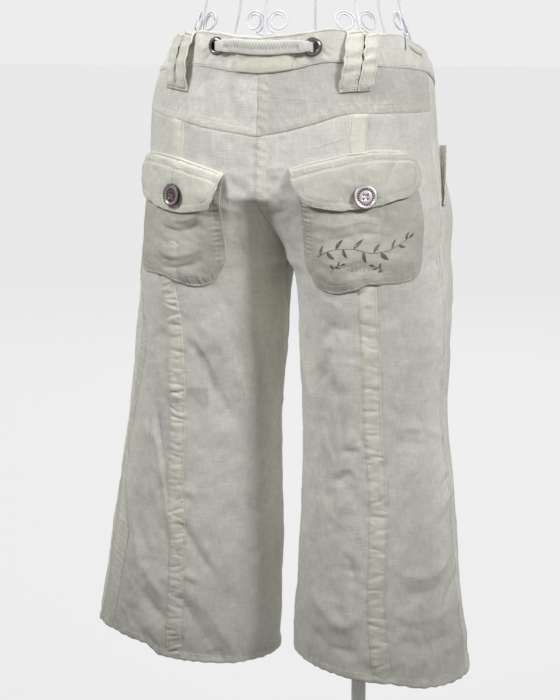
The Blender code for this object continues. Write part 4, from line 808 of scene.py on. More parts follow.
def columns(side, back, u):
    """Distance from the centre back, for reading the edge tables, of the columns at shares u from the outseam."""
    return float(HALF[side].length(0.80)[0]) - across_panel(side, back, 0.80, u)


def q_of(side, s, z):
    """The same, of any point of the cloth."""
    b, f = HALF[side].length(z)
    k = seam_line(side, z)
    u = np.where(s >= k, (s - k) / (b - k), (k - s) / (f + k))
    return np.where(s >= k, columns(side, True, u), columns(side, False, u))


# ---------------------------------------------------------------- mesh makers
ROOT = "root"
made = []


def mesh_of(name, verts, groups, uv=None, seam=None, dark=None):
    """A mesh from points and arrays of faces. uv and seam are given for each point."""
    groups = [np.asarray(g, np.int64) for g in groups if len(g)]
    loops = np.concatenate([g.ravel() for g in groups])
    sizes = np.concatenate([np.full(len(g), g.shape[1]) for g in groups])
    starts = np.concatenate([[0], np.cumsum(sizes)[:-1]])
    me = bpy.data.meshes.new(name)
    me.vertices.add(len(verts))
    me.vertices.foreach_set("co", np.asarray(verts, np.float32).ravel())
    me.loops.add(len(loops))
    me.loops.foreach_set("vertex_index", loops.astype(np.int32))
    me.polygons.add(len(sizes))
    me.polygons.foreach_set("loop_start", starts.astype(np.int32))
    me.update(calc_edges=True)
    if uv is not None:
        layer = me.uv_layers.new(name="Cloth")
        layer.data.foreach_set("uv", np.asarray(uv, np.float32)[loops].ravel())
    if seam is not None:
        a = me.attributes.new("seam", "FLOAT", "POINT")
        a.data.foreach_set("value", np.asarray(seam, np.float32).ravel())
    if dark is not None:
        a = me.attributes.new("dark", "FLOAT", "POINT")
        a.data.foreach_set("value", np.asarray(dark, np.float32).ravel())
    me.shade_smooth()
    return me


def piece(name, me, mat, replaces=(), modifiers=()):
    o = bpy.data.objects.new(name, me)
    bpy.context.scene.collection.objects.link(o)
    if mat is not None:
        me.materials.append(mat)
    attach(o, ROOT)
    if replaces:
        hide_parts(*([replaces] if isinstance(replaces, str) else replaces))
    made.append(o)
    return o


def steps(length, pitch, rim=0.0005):
    """Shares from 0 to 1 at about that pitch, with a narrow first and last step, so that an edge can be rounded."""
    n = max(2, int(round(length / pitch)))
    r = rim / length
    return np.concatenate([[0], np.linspace(r, 1 - r, n + 1), [1]])


def shell(P, N, thick, uv, seam=None):
    """A closed shell of cloth about a grid of points, its edges rounded: points, faces and what goes with each point."""
    rows, cols = P.shape[:2]
    t = np.broadcast_to(np.asarray(thick, float), (rows, cols)).copy()
    border = np.zeros((rows, cols), bool)
    border[0], border[-1], border[:, 0], border[:, -1] = True, True, True, True
    t[border] *= 0.42
    out, inn = P + N * t[..., None] / 2, P - N * t[..., None] / 2
    verts = np.concatenate([out.reshape(-1, 3), inn.reshape(-1, 3)])
    k = np.arange(rows * cols).reshape(rows, cols)
    a, b, c, d = k[:-1, :-1].ravel(), k[:-1, 1:].ravel(), k[1:, 1:].ravel(), k[1:, :-1].ravel()
    i, j = rows // 2, cols // 2
    i, j = min(i, rows - 2), min(j, cols - 2)
    facing = np.dot(np.cross(P[i, j + 1] - P[i, j], P[i + 1, j] - P[i, j]), N[i, j]) > 0
    m = rows * cols
    outer, inner = np.stack([a, b, c, d], 1), np.stack([d, c, b, a], 1) + m
    ring = np.concatenate([k[0, :-1], k[:-1, -1], k[-1, :0:-1], k[:0:-1, 0]])
    nxt = np.roll(ring, -1)
    rim = np.stack([ring, ring + m, nxt + m, nxt], 1)
    if not facing:
        outer, inner, rim = outer[:, ::-1], inner[:, ::-1], rim[:, ::-1]
    uv2 = np.concatenate([uv.reshape(-1, 2), uv.reshape(-1, 2)])
    seam = np.zeros((rows, cols)) if seam is None else np.broadcast_to(seam, (rows, cols))
    return verts, [outer, inner, rim], uv2, np.concatenate([seam.ravel(), seam.ravel()])


def cloth(name, P, N, thick, uv, mat, replaces=(), seam=None, dark=None):
    verts, faces, uv2, seam2 = shell(P, N, thick, uv, seam)
    if dark is not None:
        dark = np.concatenate([dark.ravel(), dark.ravel()])
    return piece(name, mesh_of(name, verts, faces, uv2, seam2, dark), mat, replaces)


def area_of(P):
    d1, d2 = P[1:, 1:] - P[:-1, :-1], P[1:, :-1] - P[:-1, 1:]
    return float(np.linalg.norm(np.cross(d1, d2), axis=2).sum() / 2)


def declare(P, ease=1.0):
    """Works out the flat cut of a sewn piece from its own grid: its widest row, its longest column and its area. The
    values are not kept.
    """
    wide = np.linalg.norm(np.diff(P, axis=1), axis=2).sum(1).max() * ease
    long = np.linalg.norm(np.diff(P, axis=0), axis=2).sum(0).max() * ease
    area = area_of(P) * ease**2
    wide, long = max(wide, 0.0105), max(long, 0.0105)
    area = min(max(area, 0.301 * wide * long), wide * long)


# ---------------------------------------------------------------- materials
def nodes_of(name):
    m = bpy.data.materials.new(name)
    m.use_nodes = True
    t = m.node_tree
    return m, t, t.nodes["Principled BSDF"]


def add(t, kind, **values):
    n = t.nodes.new(kind)
    for k, v in values.items():
        if k in n.inputs:
            n.inputs[k].default_value = v
        else:
            setattr(n, k, v)
    return n


def math_node(t, op, a, b=None, c=None):
    n = t.nodes.new("ShaderNodeMath")
    n.operation = op
    for i, v in enumerate((a, b, c)):
        if v is None:
            continue
        if isinstance(v, (int, float)):
            n.inputs[i].default_value = v
        else:
            t.links.new(v, n.inputs[i])
    return n.outputs[0]


def streaks(t, uv, across, along, detail=2.0):
    """Noise drawn out into threads: `across` and `along` are its sizes in metres on the cloth."""
    mp = add(t, "ShaderNodeMapping")
    mp.inputs["Scale"].default_value = (1 / across, 1 / along, 1)
    t.links.new(uv, mp.inputs["Vector"])
    n = add(t, "ShaderNodeTexNoise", Scale=1.0, Detail=detail, Roughness=0.55)
    t.links.new(mp.outputs[0], n.inputs["Vector"])
    return math_node(t, "SUBTRACT", n.outputs["Fac"], 0.5)


def linen(name, colour, seam_colour, slub=0.20, mottle=0.10, bump=0.35, uneven=0.5, tones=None):
    """Washed plain-weave linen: thick and thin threads both ways, a fine weave, and a soft unevenness of colour from warm to cool."""
    m, t, b = nodes_of(name)
    uv = add(t, "ShaderNodeUVMap", uv_map="Cloth").outputs[0]
    warp = streaks(t, uv, 0.0010, 0.012)
    weft = streaks(t, uv, 0.013, 0.0009)
    warp2 = streaks(t, uv, 0.0030, 0.060, 1.0)
    weft2 = streaks(t, uv, 0.050, 0.0028, 1.0)
    grain = streaks(t, uv, 0.0015, 0.0015, 3.0)
    blot = streaks(t, uv, 0.0062, 0.0074, 3.0)
    cloud = streaks(t, uv, 0.024, 0.031, 4.0)
    thread = math_node(t, "MULTIPLY", math_node(t, "ADD", warp, weft), slub)
    thread = math_node(t, "ADD", thread, math_node(t, "MULTIPLY", math_node(t, "ADD", warp2, weft2), slub * 0.26))
    tone = math_node(t, "ADD", thread, math_node(t, "MULTIPLY", grain, slub * 0.9))
    tone = math_node(t, "ADD", tone, math_node(t, "MULTIPLY", blot, mottle))
    tone = math_node(t, "ADD", tone, math_node(t, "MULTIPLY", cloud, mottle * 1.1))
    tone = math_node(t, "ADD", tone, 1.0)
    # the dark attribute darkens the cloth, and lightens it where it is negative: it carries painted shade and painted
    # light on most pieces, and a darker patch on the left leg
    dark = add(t, "ShaderNodeAttribute", attribute_name="dark").outputs["Fac"]
    tone = math_node(t, "MULTIPLY", tone, math_node(t, "SUBTRACT", 1.0, math_node(t, "MULTIPLY", dark, 0.21)))
    seam = add(t, "ShaderNodeAttribute", attribute_name="seam").outputs["Fac"]
    shift = math_node(t, "ADD", math_node(t, "MULTIPLY", cloud, 2.6), math_node(t, "MULTIPLY", blot, 1.2))
    shift = math_node(t, "ADD", shift, 0.5)
    cool, warm = tones or (tuple(c * k for c, k in zip(colour, (0.985, 0.980, 0.985))), tuple(c * k for c, k in zip(colour, (1.012, 1.014, 0.990))))
    base = add(t, "ShaderNodeMix", data_type="RGBA", clamp_factor=True)
    base.inputs["A"].default_value = (*cool, 1)
    base.inputs["B"].default_value = (*warm, 1)
    t.links.new(shift, base.inputs["Factor"])
    mix = add(t, "ShaderNodeMix", data_type="RGBA")
    mix.inputs["B"].default_value = (*seam_colour, 1)
    t.links.new(base.outputs["Result"], mix.inputs["A"])
    t.links.new(seam, mix.inputs["Factor"])
    mul = add(t, "ShaderNodeVectorMath", operation="SCALE")
    t.links.new(mix.outputs["Result"], mul.inputs[0])
    t.links.new(tone, mul.inputs["Scale"])
    t.links.new(mul.outputs[0], b.inputs["Base Color"])
    b.inputs["Roughness"].default_value = 0.90
    b.inputs["Specular IOR Level"].default_value = 0.20
    b.inputs["Sheen Weight"].default_value = 0.10
    b.inputs["Sheen Roughness"].default_value = 0.55
    # weave: threads over and under each other
    sep = add(t, "ShaderNodeSeparateXYZ")
    t.links.new(uv, sep.inputs[0])
    pitch = 2 * math.pi / 0.00125
    wu = math_node(t, "SINE", math_node(t, "MULTIPLY", sep.outputs[0], pitch))
    wv = math_node(t, "SINE", math_node(t, "MULTIPLY", sep.outputs[1], pitch))
    weave = math_node(t, "MULTIPLY", wu, wv)
    height = math_node(t, "ADD", math_node(t, "MULTIPLY", weave, 0.09), math_node(t, "MULTIPLY", math_node(t, "ADD", warp, weft), 1.0))
    height = math_node(t, "ADD", height, math_node(t, "MULTIPLY", grain, uneven))
    height = math_node(t, "ADD", height, math_node(t, "MULTIPLY", blot, 0.8))
    bm = add(t, "ShaderNodeBump", Strength=bump, Distance=0.0006)
    t.links.new(height, bm.inputs["Height"])
    t.links.new(bm.outputs[0], b.inputs["Normal"])
    return m


def metal(name, colour, dark, rough=0.32, size=0.0016):
    """Antiqued metal: dark where it is recessed or worn, with an uneven polish."""
    m, t, b = nodes_of(name)
    co = add(t, "ShaderNodeTexCoord").outputs["Object"]
    n = add(t, "ShaderNodeTexNoise", Scale=1 / size, Detail=4.0, Roughness=0.6)
    t.links.new(co, n.inputs["Vector"])
    seam = add(t, "ShaderNodeAttribute", attribute_name="seam").outputs["Fac"]
    worn = math_node(t, "ADD", seam, math_node(t, "MULTIPLY", math_node(t, "SUBTRACT", n.outputs["Fac"], 0.5), 0.7))
    mix = add(t, "ShaderNodeMix", data_type="RGBA", clamp_factor=True)
    mix.inputs["A"].default_value = (*colour, 1)
    mix.inputs["B"].default_value = (*dark, 1)
    t.links.new(worn, mix.inputs["Factor"])
    t.links.new(mix.outputs["Result"], b.inputs["Base Color"])
    b.inputs["Metallic"].default_value = 1.0
    r = math_node(t, "ADD", math_node(t, "MULTIPLY", n.outputs["Fac"], 0.25), rough - 0.10)
    t.links.new(r, b.inputs["Roughness"])
    bm = add(t, "ShaderNodeBump", Strength=0.25, Distance=0.0002)
    t.links.new(n.outputs["Fac"], bm.inputs["Height"])
    t.links.new(bm.outputs[0], b.inputs["Normal"])
    return m


def paint(name, colour, rough, speck=0.03, bump=0.1):
    """Powder coat: a faint orange-peel and a slight change of tone."""
    m, t, b = nodes_of(name)
    co = add(t, "ShaderNodeTexCoord").outputs["Object"]
    n = add(t, "ShaderNodeTexNoise", Scale=900.0, Detail=2.0)
    big = add(t, "ShaderNodeTexNoise", Scale=14.0, Detail=3.0)
    t.links.new(co, n.inputs["Vector"])
    t.links.new(co, big.inputs["Vector"])
    tone = math_node(t, "ADD", math_node(t, "MULTIPLY", math_node(t, "SUBTRACT", big.outputs["Fac"], 0.5), speck * 2), 1.0)
    mul = add(t, "ShaderNodeVectorMath", operation="SCALE")
    mul.inputs[0].default_value = colour
    t.links.new(tone, mul.inputs["Scale"])
    t.links.new(mul.outputs[0], b.inputs["Base Color"])
    b.inputs["Roughness"].default_value = rough
    bm = add(t, "ShaderNodeBump", Strength=bump, Distance=0.0002)
    t.links.new(n.outputs["Fac"], bm.inputs["Height"])
    t.links.new(bm.outputs[0], b.inputs["Normal"])
    return m


OFFWHITE = (0.690, 0.688, 0.648)
CREAMY = (0.775, 0.773, 0.695)
main_linen = linen("linen_offwhite", OFFWHITE, CREAMY, slub=0.34, mottle=0.18)
cream_linen = linen("linen_cream", (0.712, 0.710, 0.640), (0.755, 0.753, 0.670), slub=0.22, mottle=0.14)
# the pockets' linen is darker than the legs': painted shade of the flaps over them
pocket_linen = linen("linen_pocket", (0.560, 0.556, 0.503), (0.690, 0.688, 0.615), slub=0.26, mottle=0.19)
tie_linen = linen("linen_tie", (0.730, 0.730, 0.695), (0.82, 0.82, 0.79), slub=0.08, mottle=0.04, bump=0.2)
label_linen = linen("linen_label", (0.760, 0.745, 0.640), (0.70, 0.69, 0.60), slub=0.16, mottle=0.12, bump=0.3)
flap_linen = linen("linen_flap", (0.665, 0.663, 0.600), (0.700, 0.698, 0.620), slub=0.22, mottle=0.15)
dull_thread_mat = linen("thread_dull", (0.50, 0.47, 0.40), (0.50, 0.47, 0.40), slub=0.05, mottle=0.02, bump=0.1)
thread_mat = linen("thread_cream", (0.780, 0.775, 0.700), (0.76, 0.75, 0.67), slub=0.05, mottle=0.02, bump=0.1)
button_mat = metal("button_metal", (0.78, 0.71, 0.72), (0.040, 0.030, 0.030), 0.34)
eyelet_mat = metal("eyelet_metal", (0.36, 0.29, 0.28), (0.016, 0.013, 0.015), 0.20)
# a darker copy of the button metal for the left flap button: a painted dark reflection
button_mat_dark_reflection = metal("button_metal_painted_dark_reflection", (0.30, 0.23, 0.23), (0.022, 0.016, 0.016), 0.28)
wire_mat = paint("form_wire_white", (0.74, 0.74, 0.80), 0.26)
stand_mat = paint("stand_paint_white", (0.82, 0.82, 0.83), 0.35)


def flat_mark(name, colour, light, scale):
    """Ink, rust, and the painted shade in needle holes and a slit: a dull colour that turns unevenly into a lighter
    one.
    """
    m, t, b = nodes_of(name)
    co = add(t, "ShaderNodeTexCoord").outputs["Object"]
    n = add(t, "ShaderNodeTexNoise", Scale=scale, Detail=3.0)
    t.links.new(co, n.inputs["Vector"])
    f = math_node(t, "MULTIPLY", math_node(t, "SUBTRACT", n.outputs["Fac"], 0.42), 2.4)
    mix = add(t, "ShaderNodeMix", data_type="RGBA", clamp_factor=True)
    mix.inputs["A"].default_value = (*colour, 1)
    mix.inputs["B"].default_value = (*light, 1)
    t.links.new(f, mix.inputs["Factor"])
    t.links.new(mix.outputs["Result"], b.inputs["Base Color"])
    b.inputs["Roughness"].default_value = 0.92
    b.inputs["Specular IOR Level"].default_value = 0.15
    return m


# needle holes and the mend's holes: their dark colour is painted shade
hole_mat = flat_mark("needle_hole", (0.22, 0.20, 0.14), (0.36, 0.34, 0.26), 500.0)
ink_mat = flat_mark("print_brown", (0.150, 0.110, 0.080), (0.36, 0.29, 0.23), 260.0)
rust_mat = flat_mark("rust_spot", (0.50, 0.36, 0.16), (0.66, 0.56, 0.36), 700.0)
slit_shade_mat = flat_mark("slit_painted_shade", (0.075, 0.050, 0.035), (0.30, 0.25, 0.19), 420.0)


# ---------------------------------------------------------------- stitches
PITCH, LONG = 0.0024, 0.0017
holes = []


def hole_mesh(name):
    """The needle holes at the ends of all the stitches, as small flat dark marks: painted shade in the holes."""
    A = np.concatenate([h[0] for h in holes])
    T = np.concatenate([h[1] for h in holes])
    W = np.concatenate([h[2] for h in holes])
    N = np.concatenate([h[3] for h in holes])
    r = 0.00033
    ang = np.linspace(0, 2 * np.pi, 6, endpoint=False)
    c = A - T * 0.0002 + N * 0.00007
    V = c[:, None] + r * (np.cos(ang)[None, :, None] * T[:, None] + np.sin(ang)[None, :, None] * W[:, None])
    n = len(A)
    F = (np.array([[0, 1, 2, 3], [0, 3, 4, 5]])[None] + (np.arange(n) * 6)[:, None, None]).reshape(-1, 4)
    return piece(name, mesh_of(name, V.reshape(-1, 3), [F]), hole_mat)


def run_along(P, N, pitch, long, start=0.0):
    """Ends of the stitches of one row, along a line of points with its normals."""
    seg = np.linalg.norm(np.diff(P, axis=0), axis=1)
    run = np.concatenate([[0], np.cumsum(seg)])
    n = int((run[-1] - start - long) / pitch) + 1
    if n < 1:
        return np.zeros((0, 3)), np.zeros((0, 3)), np.zeros((0, 3))
    a = start + pitch * np.arange(n)

    def read(v, x):
        return np.stack([np.interp(x, run, v[:, j]) for j in range(3)], 1)

    nn = read(N, a + long / 2)
    A, B = read(P, a), read(P, a + long)
    whole = np.linalg.norm(B - A, axis=1) < 1.3 * long
    whole &= np.interp(a, run[:-1], seg) < 0.012
    return A[whole], B[whole], (nn / np.linalg.norm(nn, axis=1, keepdims=True))[whole]


def stitch_mesh(name, rows, radius=0.00027, mat=None, marks=True):
    """Many stitches as one mesh: each is a short thread that dips into the cloth at both ends."""
    A = np.concatenate([r[0] for r in rows])
    B = np.concatenate([r[1] for r in rows])
    N = np.concatenate([r[2] for r in rows])
    ok = np.linalg.norm(B - A, axis=1) > 1e-5
    A, B, N = A[ok], B[ok], N[ok]
    T = B - A
    size = np.linalg.norm(T, axis=1, keepdims=True)
    T = T / size
    W = np.cross(N, T)
    W = W / np.linalg.norm(W, axis=1, keepdims=True)
    N = np.cross(T, W)
    pts = [A - N * radius * 0.9]
    for share, up in ((0.16, 0.55), (0.84, 0.55)):
        c = A + T * size * share + N * radius * up
        for x, y in ((1, 0), (0, 1), (-1, 0), (0, -1)):
            pts.append(c + W * radius * x * 1.1 + N * radius * y * 0.8)
    pts.append(B - N * radius * 0.9)
    V = np.stack(pts, 1)  # n, 10, 3
    n = len(V)
    tri = [(0, 1, 4), (0, 2, 1), (0, 3, 2), (0, 4, 3), (9, 5, 6), (9, 6, 7), (9, 7, 8), (9, 8, 5)]
    quad = [(1, 2, 6, 5), (2, 3, 7, 6), (3, 4, 8, 7), (4, 1, 5, 8)]
    off = (np.arange(n) * 10)[:, None, None]
    if marks:
        holes.extend([(A, T, W, N), (B, -T, W, N)])
    F3 = (np.array(tri)[None] + off).reshape(-1, 3)
    F4 = (np.array(quad)[None] + off).reshape(-1, 4)
    V = V.reshape(-1, 3)
    uv = np.repeat(np.stack([np.arange(n) * 0.0013, np.arange(n) * 0.0007], 1), 10, 0) + np.tile(np.arange(10)[:, None] * 0.0002, (n, 2))
    me = mesh_of(name, V, [F4, F3], uv, np.zeros(len(V)))
    return piece(name, me, mat or thread_mat)


def row_of(surface, s, z, pitch=PITCH, long=LONG, start=0.0):
    """A row of stitches on a surface(s, z), which gives points and normals just on top of a piece."""
    s, z = np.broadcast_arrays(np.asarray(s, float), np.asarray(z, float))
    P, N = surface(s, z)
    return run_along(P, N, pitch, long, start)


# ---------------------------------------------------------------- legs
def heights(top, foot, pitch):
    """Rows between two edges. Above the seat they follow the top edge, below it they are level until the hem."""
    level = 0.715
    rows = []
    n1 = int((top.mean() - level) / pitch)
    r1 = 0.0005 / (top.mean() - level)
    for t in np.concatenate([[0], np.linspace(r1, 1, n1)[:-1]]):
        rows.append(top + (level - top) * t)
    for t in np.linspace(0, 1, int((level - Z_CROTCH) / pitch))[:-1]:
        rows.append(np.full_like(top, level + (Z_CROTCH - level) * t))
    n3 = int((Z_CROTCH - foot.mean()) / pitch)
    r3 = 0.0005 / (Z_CROTCH - foot.mean())
    for t in np.concatenate([np.linspace(0, 1 - r3, n3), [1]]):
        rows.append(Z_CROTCH + (foot - Z_CROTCH) * t)
    return np.array(rows)


HEM_ROPE = {k: Pucker(60 + i, -0.35, 0.35, 0.0082, 0.35, 0.3) for i, k in enumerate(((1, True), (1, False), (-1, True), (-1, False)))}
FELL_ROPE = {k: Pucker(80 + i, -0.05, 0.40, 0.0088, 0.35, 0.25) for i, k in enumerate((1, -1))}
FELL_FINE = {k: Pucker(90 + i, -0.05, 0.40, 0.0040, 0.35, 0.15) for i, k in enumerate((1, -1))}
CB_ROPE = Pucker(91, 0.6, 0.92, 0.0090, 0.3, 0.3)


HEM_WAVE = {k: Pucker(120 + i, -0.05, 0.40, 0.0115, 0.4, 0.2) for i, k in enumerate(((1, True), (1, False), (-1, True), (-1, False)))}


def hem_at(side, back, u):
    """Height of the hem's edge at shares u from the outseam."""
    u = np.asarray(u, float)
    calm = smooth(0.0, 0.04, u) * smooth(1.0, 0.96, u)
    return table(HEM, u)[..., (0 if side > 0 else 2) + (0 if back else 1)] + 0.0008 * calm * HEM_WAVE[side, back](0.28 * u)


def fell_lift(side, s, z):
    """The centre-back seam: its allowances lie to the right, so the right half is thicker there."""
    b, f = HALF[side].length(z)
    d = b - s
    if side < 0:
        on = 1 - smooth(0.0108, 0.0122, d)
        groove = -0.00025 * (np.exp(-(((d - 0.0020) / 0.0010) ** 2)) + np.exp(-(((d - 0.0102) / 0.0010) ** 2)))
        return on * (0.00050 + 0.00034 * CB_ROPE(z + 0.4 * d)) * smooth(-0.0010, 0.0016, d) + groove
    return -0.0001 * (1 - smooth(0.0005, 0.0030, d)) + 0.0002 * CB_ROPE(z) * (1 - smooth(0.004, 0.009, d))


def leg_seam(side, back, s, z, foot):
    """Thickness, lift and cream tint of a leg panel at its hem and seams."""
    d = z - foot
    hem = 1 - smooth(0.0080, 0.0098, d)
    rope = HEM_ROPE[side, back](s + 0.5 * d)
    thick = WALL + 0.0009 * hem
    lift = 0.0002 * hem + 0.00075 * hem * rope * smooth(0.0, 0.003, d) - 0.0003 * np.exp(-(((d - 0.0078) / 0.0012) ** 2))
    lift = lift + 0.0006 * rope * np.exp(-(((d - 0.012) / 0.006) ** 2))
    tint = 0.55 * hem
    if back:
        high = smooth(0.655, 0.672, z)
        lift = lift + fell_lift(side, s, z) * high
        if side < 0:
            tint = np.maximum(tint, 0.7 * high * (1 - smooth(0.0108, 0.0122, HALF[side].length(z)[0] - s)))
    return thick, lift, tint


def close_seam(side, P):
    """The right half's edge laps a little over the left's down the centre back."""
    if side < 0:
        for col, far in ((-1, 0.00055), (-2, 0.00035)):
            by_seam = np.abs(P[:, -1, 0]) < 0.0009 if col == -2 else np.abs(P[:, -1, 0]) < 0.0005
            P[:, col, 0] += np.where(by_seam, far, 0.0)


def leg_panel(side, word, back, pitch):
    node = f"{'back' if back else 'front'}_leg_{word}"
    b, f = HALF[side].length(0.60)
    u = steps(float(b if back else f), pitch)
    q = columns(side, back, u)
    # a back panel's top edge is tucked under the yoke
    tuck = 0.0060 if back else 0.0040
    edge_z = edge(YOKE_FOOT if back else BAND_FOOT, side, q) - GAP
    top = edge_z + tuck
    foot = hem_at(side, back, u)
    z = heights(top, foot, pitch)
    s = across_panel(side, back, z, u[None, :])
    s = s + (0.5 * GAP if back else -0.5 * GAP) * (1 - u[None, :])
    end = (z <= Z_CROTCH + 1e-6) & (u[None, :] > 0.9999)
    s = np.where(end, s - math.copysign(GAP / 2, 1 if back else -1), s)
    thick, lift, tint = leg_seam(side, back, s, z, foot[None, :])
    under = (0.0014 if back else 0.0020) * smooth(-0.0003, 0.0032, z - edge_z[None, :])
    lift = lift - under
    dark = np.zeros_like(s)
    # the outseam's fell
    d = np.abs(s - seam_line(side, z))
    a = smooth(0.0092, 0.0080, d)
    tint = np.maximum(tint, (0.55 if side > 0 else 0.35) * fell_band(side, s, z))
    if back:
        lift = lift + 0.00030 * a - 0.0002 * np.exp(-(((d - 0.0066) / 0.0009) ** 2))
        # creamier places: outside a diagonal on the left leg, along the inner side of the right one
        if side > 0:
            edge_s = table(WEDGE, z)[..., 0]
            tint = np.maximum(tint, 0.40 * smooth(edge_s + 0.0012, edge_s - 0.0012, s) * smooth(0.300, 0.320, z) * smooth(0.545, 0.520, z))
        else:
            a_in, a_out = table(BAND_IN, z)[..., 0], table(BAND_OUT, z)[..., 0]
            tint = np.maximum(tint, 0.40 * smooth(a_out - 0.0010, a_out + 0.0010, s) * smooth(a_in + 0.0012, a_in - 0.0012, s) * smooth(0.330, 0.380, z) * smooth(0.585, 0.565, z))
        # an old patch that has darkened, on the left leg
        if side > 0:
            dark = smooth(0.1150, 0.1170, s) * (1 - smooth(0.1385, 0.1395, s)) * (1 - smooth(0.5040, 0.5050, z))
            dark = dark * smooth(-0.0012, 0.0020, z - 0.4815 - 1.0 * np.clip(0.1330 - s, 0, None))
    P, N = HALF[side].at(s, z, lift)
    if back:
        close_seam(side, P)
    uv = np.stack([s, z], -1)
    if back:
        # painted shade: darker toward the hem, where the lower legs fall out of the light; painted bounce light: the
        # shaded inner side of the left leg is made paler and creamier than the rest
        dark = np.maximum(dark, 0.90 * smooth(0.430, 0.235, z))
        if side > 0:
            pale = smooth(0.180, 0.215, s) * smooth(0.50, 0.58, z) * smooth(0.7115, 0.700, z)
            dark = dark - 0.9 * pale - 1.0 * smooth(0.195, 0.232, s) * smooth(0.560, 0.480, z)
            tint = np.maximum(tint, 0.9 * pale)
    # painted light: the legs are made lighter along their outer sides
    dark = dark - (0.60 if side > 0 else 0.85) * smooth(0.062, 0.012, s) * smooth(-0.060, -0.020, s) * smooth(0.240, 0.300, z) * smooth(0.700, 0.600, z)
    o = cloth(f"{node}_cloth", P, N, thick, uv, main_linen, node, tint, dark)
    declare(HALF_PLAIN(side, s, z))
    return o


def HALF_PLAIN(side, s, z):
    """Points of the surface without its creases, for the flat cut."""
    h = HALF[side]
    keep, h.grid = h.grid, h.plain
    P = h.at(s, z)[0]
    h.grid = keep
    return P


for side, word in ((1, "left"), (-1, "right")):
    leg_panel(side, word, True, 0.00225)
    leg_panel(side, word, False, 0.0034)

# ---------------------------------------------------------------- yokes
def yoke_lift(side, q, s, z, band, foot):
    d, up = z - foot, z - band
    on = 1 - smooth(0.0108, 0.0126, d)
    rope = 0.75 * FELL_ROPE[side](q + 0.7 * d) + 0.85 * FELL_FINE[side](q - 0.2 * d)
    lift = on * (0.00036 + 0.00025 * rope) * smooth(-0.0006, 0.0022, d) - 0.0003 * (np.exp(-(((d - 0.0024) / 0.0010) ** 2)) + np.exp(-(((d - 0.0098) / 0.0010) ** 2)))
    lift = lift + 0.00022 * rope * np.exp(-(((d - 0.014) / 0.005) ** 2)) + fell_lift(side, s, z)
    return lift - 0.0020 * smooth(-0.0002, 0.0036, up) + 0.00018 * FELL_ROPE[side](q * 1.3 + 0.1) * np.exp(-(((up + 0.004) / 0.004) ** 2))


for side, word in ((1, "left"), (-1, "right")):
    node = f"yoke_{word}"
    b, f = HALF[side].length(0.80)
    u = steps(float(b), 0.00120)
    v = steps(0.066, 0.00155)[:, None]
    q = columns(side, True, u)
    band, foot = edge(BAND_FOOT, side, q), edge(YOKE_FOOT, side, q)
    z = (band + 0.0045) + v * (foot - band - 0.0045)
    s = across_panel(side, True, z, u) + GAP / 2 * (1 - u)
    on = 1 - smooth(0.0108, 0.0126, z - foot[None, :])
    lift = yoke_lift(side, q[None, :], s, z, band[None, :], foot[None, :])
    P, N = HALF[side].at(s, z, lift)
    close_seam(side, P)
    fell = (1 - smooth(0.0108, 0.0122, HALF[side].length(z)[0] - s)) * (side < 0)
    # the right yoke is darker than the left: painted shade
    o = cloth(f"{node}_cloth", P, N, WALL, np.stack([s, z + 0.5], -1), main_linen, node, np.maximum(0.75 * on, 0.7 * fell), (0.0 if side > 0 else 0.90) + 0 * s)
    declare(HALF_PLAIN(side, s, z))

# ---------------------------------------------------------------- waistband
OVERLAP = 0.032
BAND_ROPE = Pucker(101, -0.6, 1.0, 0.0095, 0.4, 0.2)
# small gathers of the band in its own sizes: distance from the centre back and height in mm, width, height of the crease
BAND_CREASES = (
    (1.8, 0.55, ((-43, 881), (-45, 876), (-44, 870))),
    (1.7, -0.5, ((-47, 881), (-48, 876), (-48, 871))),
    (1.8, 0.6, ((-52, 882), (-52, 879), (-53, 876))),
    (1.6, -0.5, ((-57, 882), (-57, 879), (-57, 877))),
    (1.8, 0.5, ((-62, 882), (-61, 879), (-61, 876))),
    (2.0, -0.7, ((-68, 864), (-74, 860), (-80, 853))),
    (2.0, 0.6, ((-66, 859), (-71, 854), (-76, 848))),
    (1.9, -0.5, ((-71, 867), (-78, 865), (-84, 861))),
    (2.0, 0.7, ((-140, 880), (-138, 872), (-133, 864), (-129, 857))),
    (2.2, -0.6, ((60, 862), (66, 857), (73, 850))),
    (2.2, 0.6, ((64, 868), (71, 865), (78, 860))),
    (2.4, 0.6, ((84, 880), (83, 872), (80, 862))),
    (2.2, 0.5, ((20, 876), (27, 874), (36, 873))),
    (2.2, -0.5, ((-14, 875), (-22, 873), (-34, 874))),
    (2.4, 0.7, ((140, 872), (143, 862), (141, 850))),
    (2.2, -0.6, ((152, 874), (158, 860), (160, 846))),
    (2.4, 0.6, ((-158, 876), (-162, 862), (-160, 848))),
    (2.6, 0.6, ((230, 856), (236, 845), (240, 832))),
    (2.6, -0.6, ((300, 836), (306, 822), (304, 810))),
    (2.6, 0.6, ((-240, 854), (-246, 842), (-250, 830))),
    (2.6, -0.6, ((-310, 836), (-316, 824), (-320, 812))),
)


# lines of the worn place on the right half, as distance behind the widest line and height
SLIT = ((0.0300, 0.8790), (0.0320, 0.8730), (0.0370, 0.8650), (0.0415, 0.8590))
MEND = ((0.0320, 0.8665), (0.0210, 0.8610), (0.0100, 0.8565))
for width, height, down, line in ((1.9, 0.9, 0.0, [(s + 0.0035, z) for s, z in SLIT]), (1.5, -0.9, 0.0, SLIT), (1.5, -0.8, 0.0, MEND), (1.9, 0.6, 0.0030, MEND)):
    BAND_CREASES += ((width, height, tuple((-1000 * float(q_of(-1, s, z)), 1000 * (z + down)) for s, z in line)),)


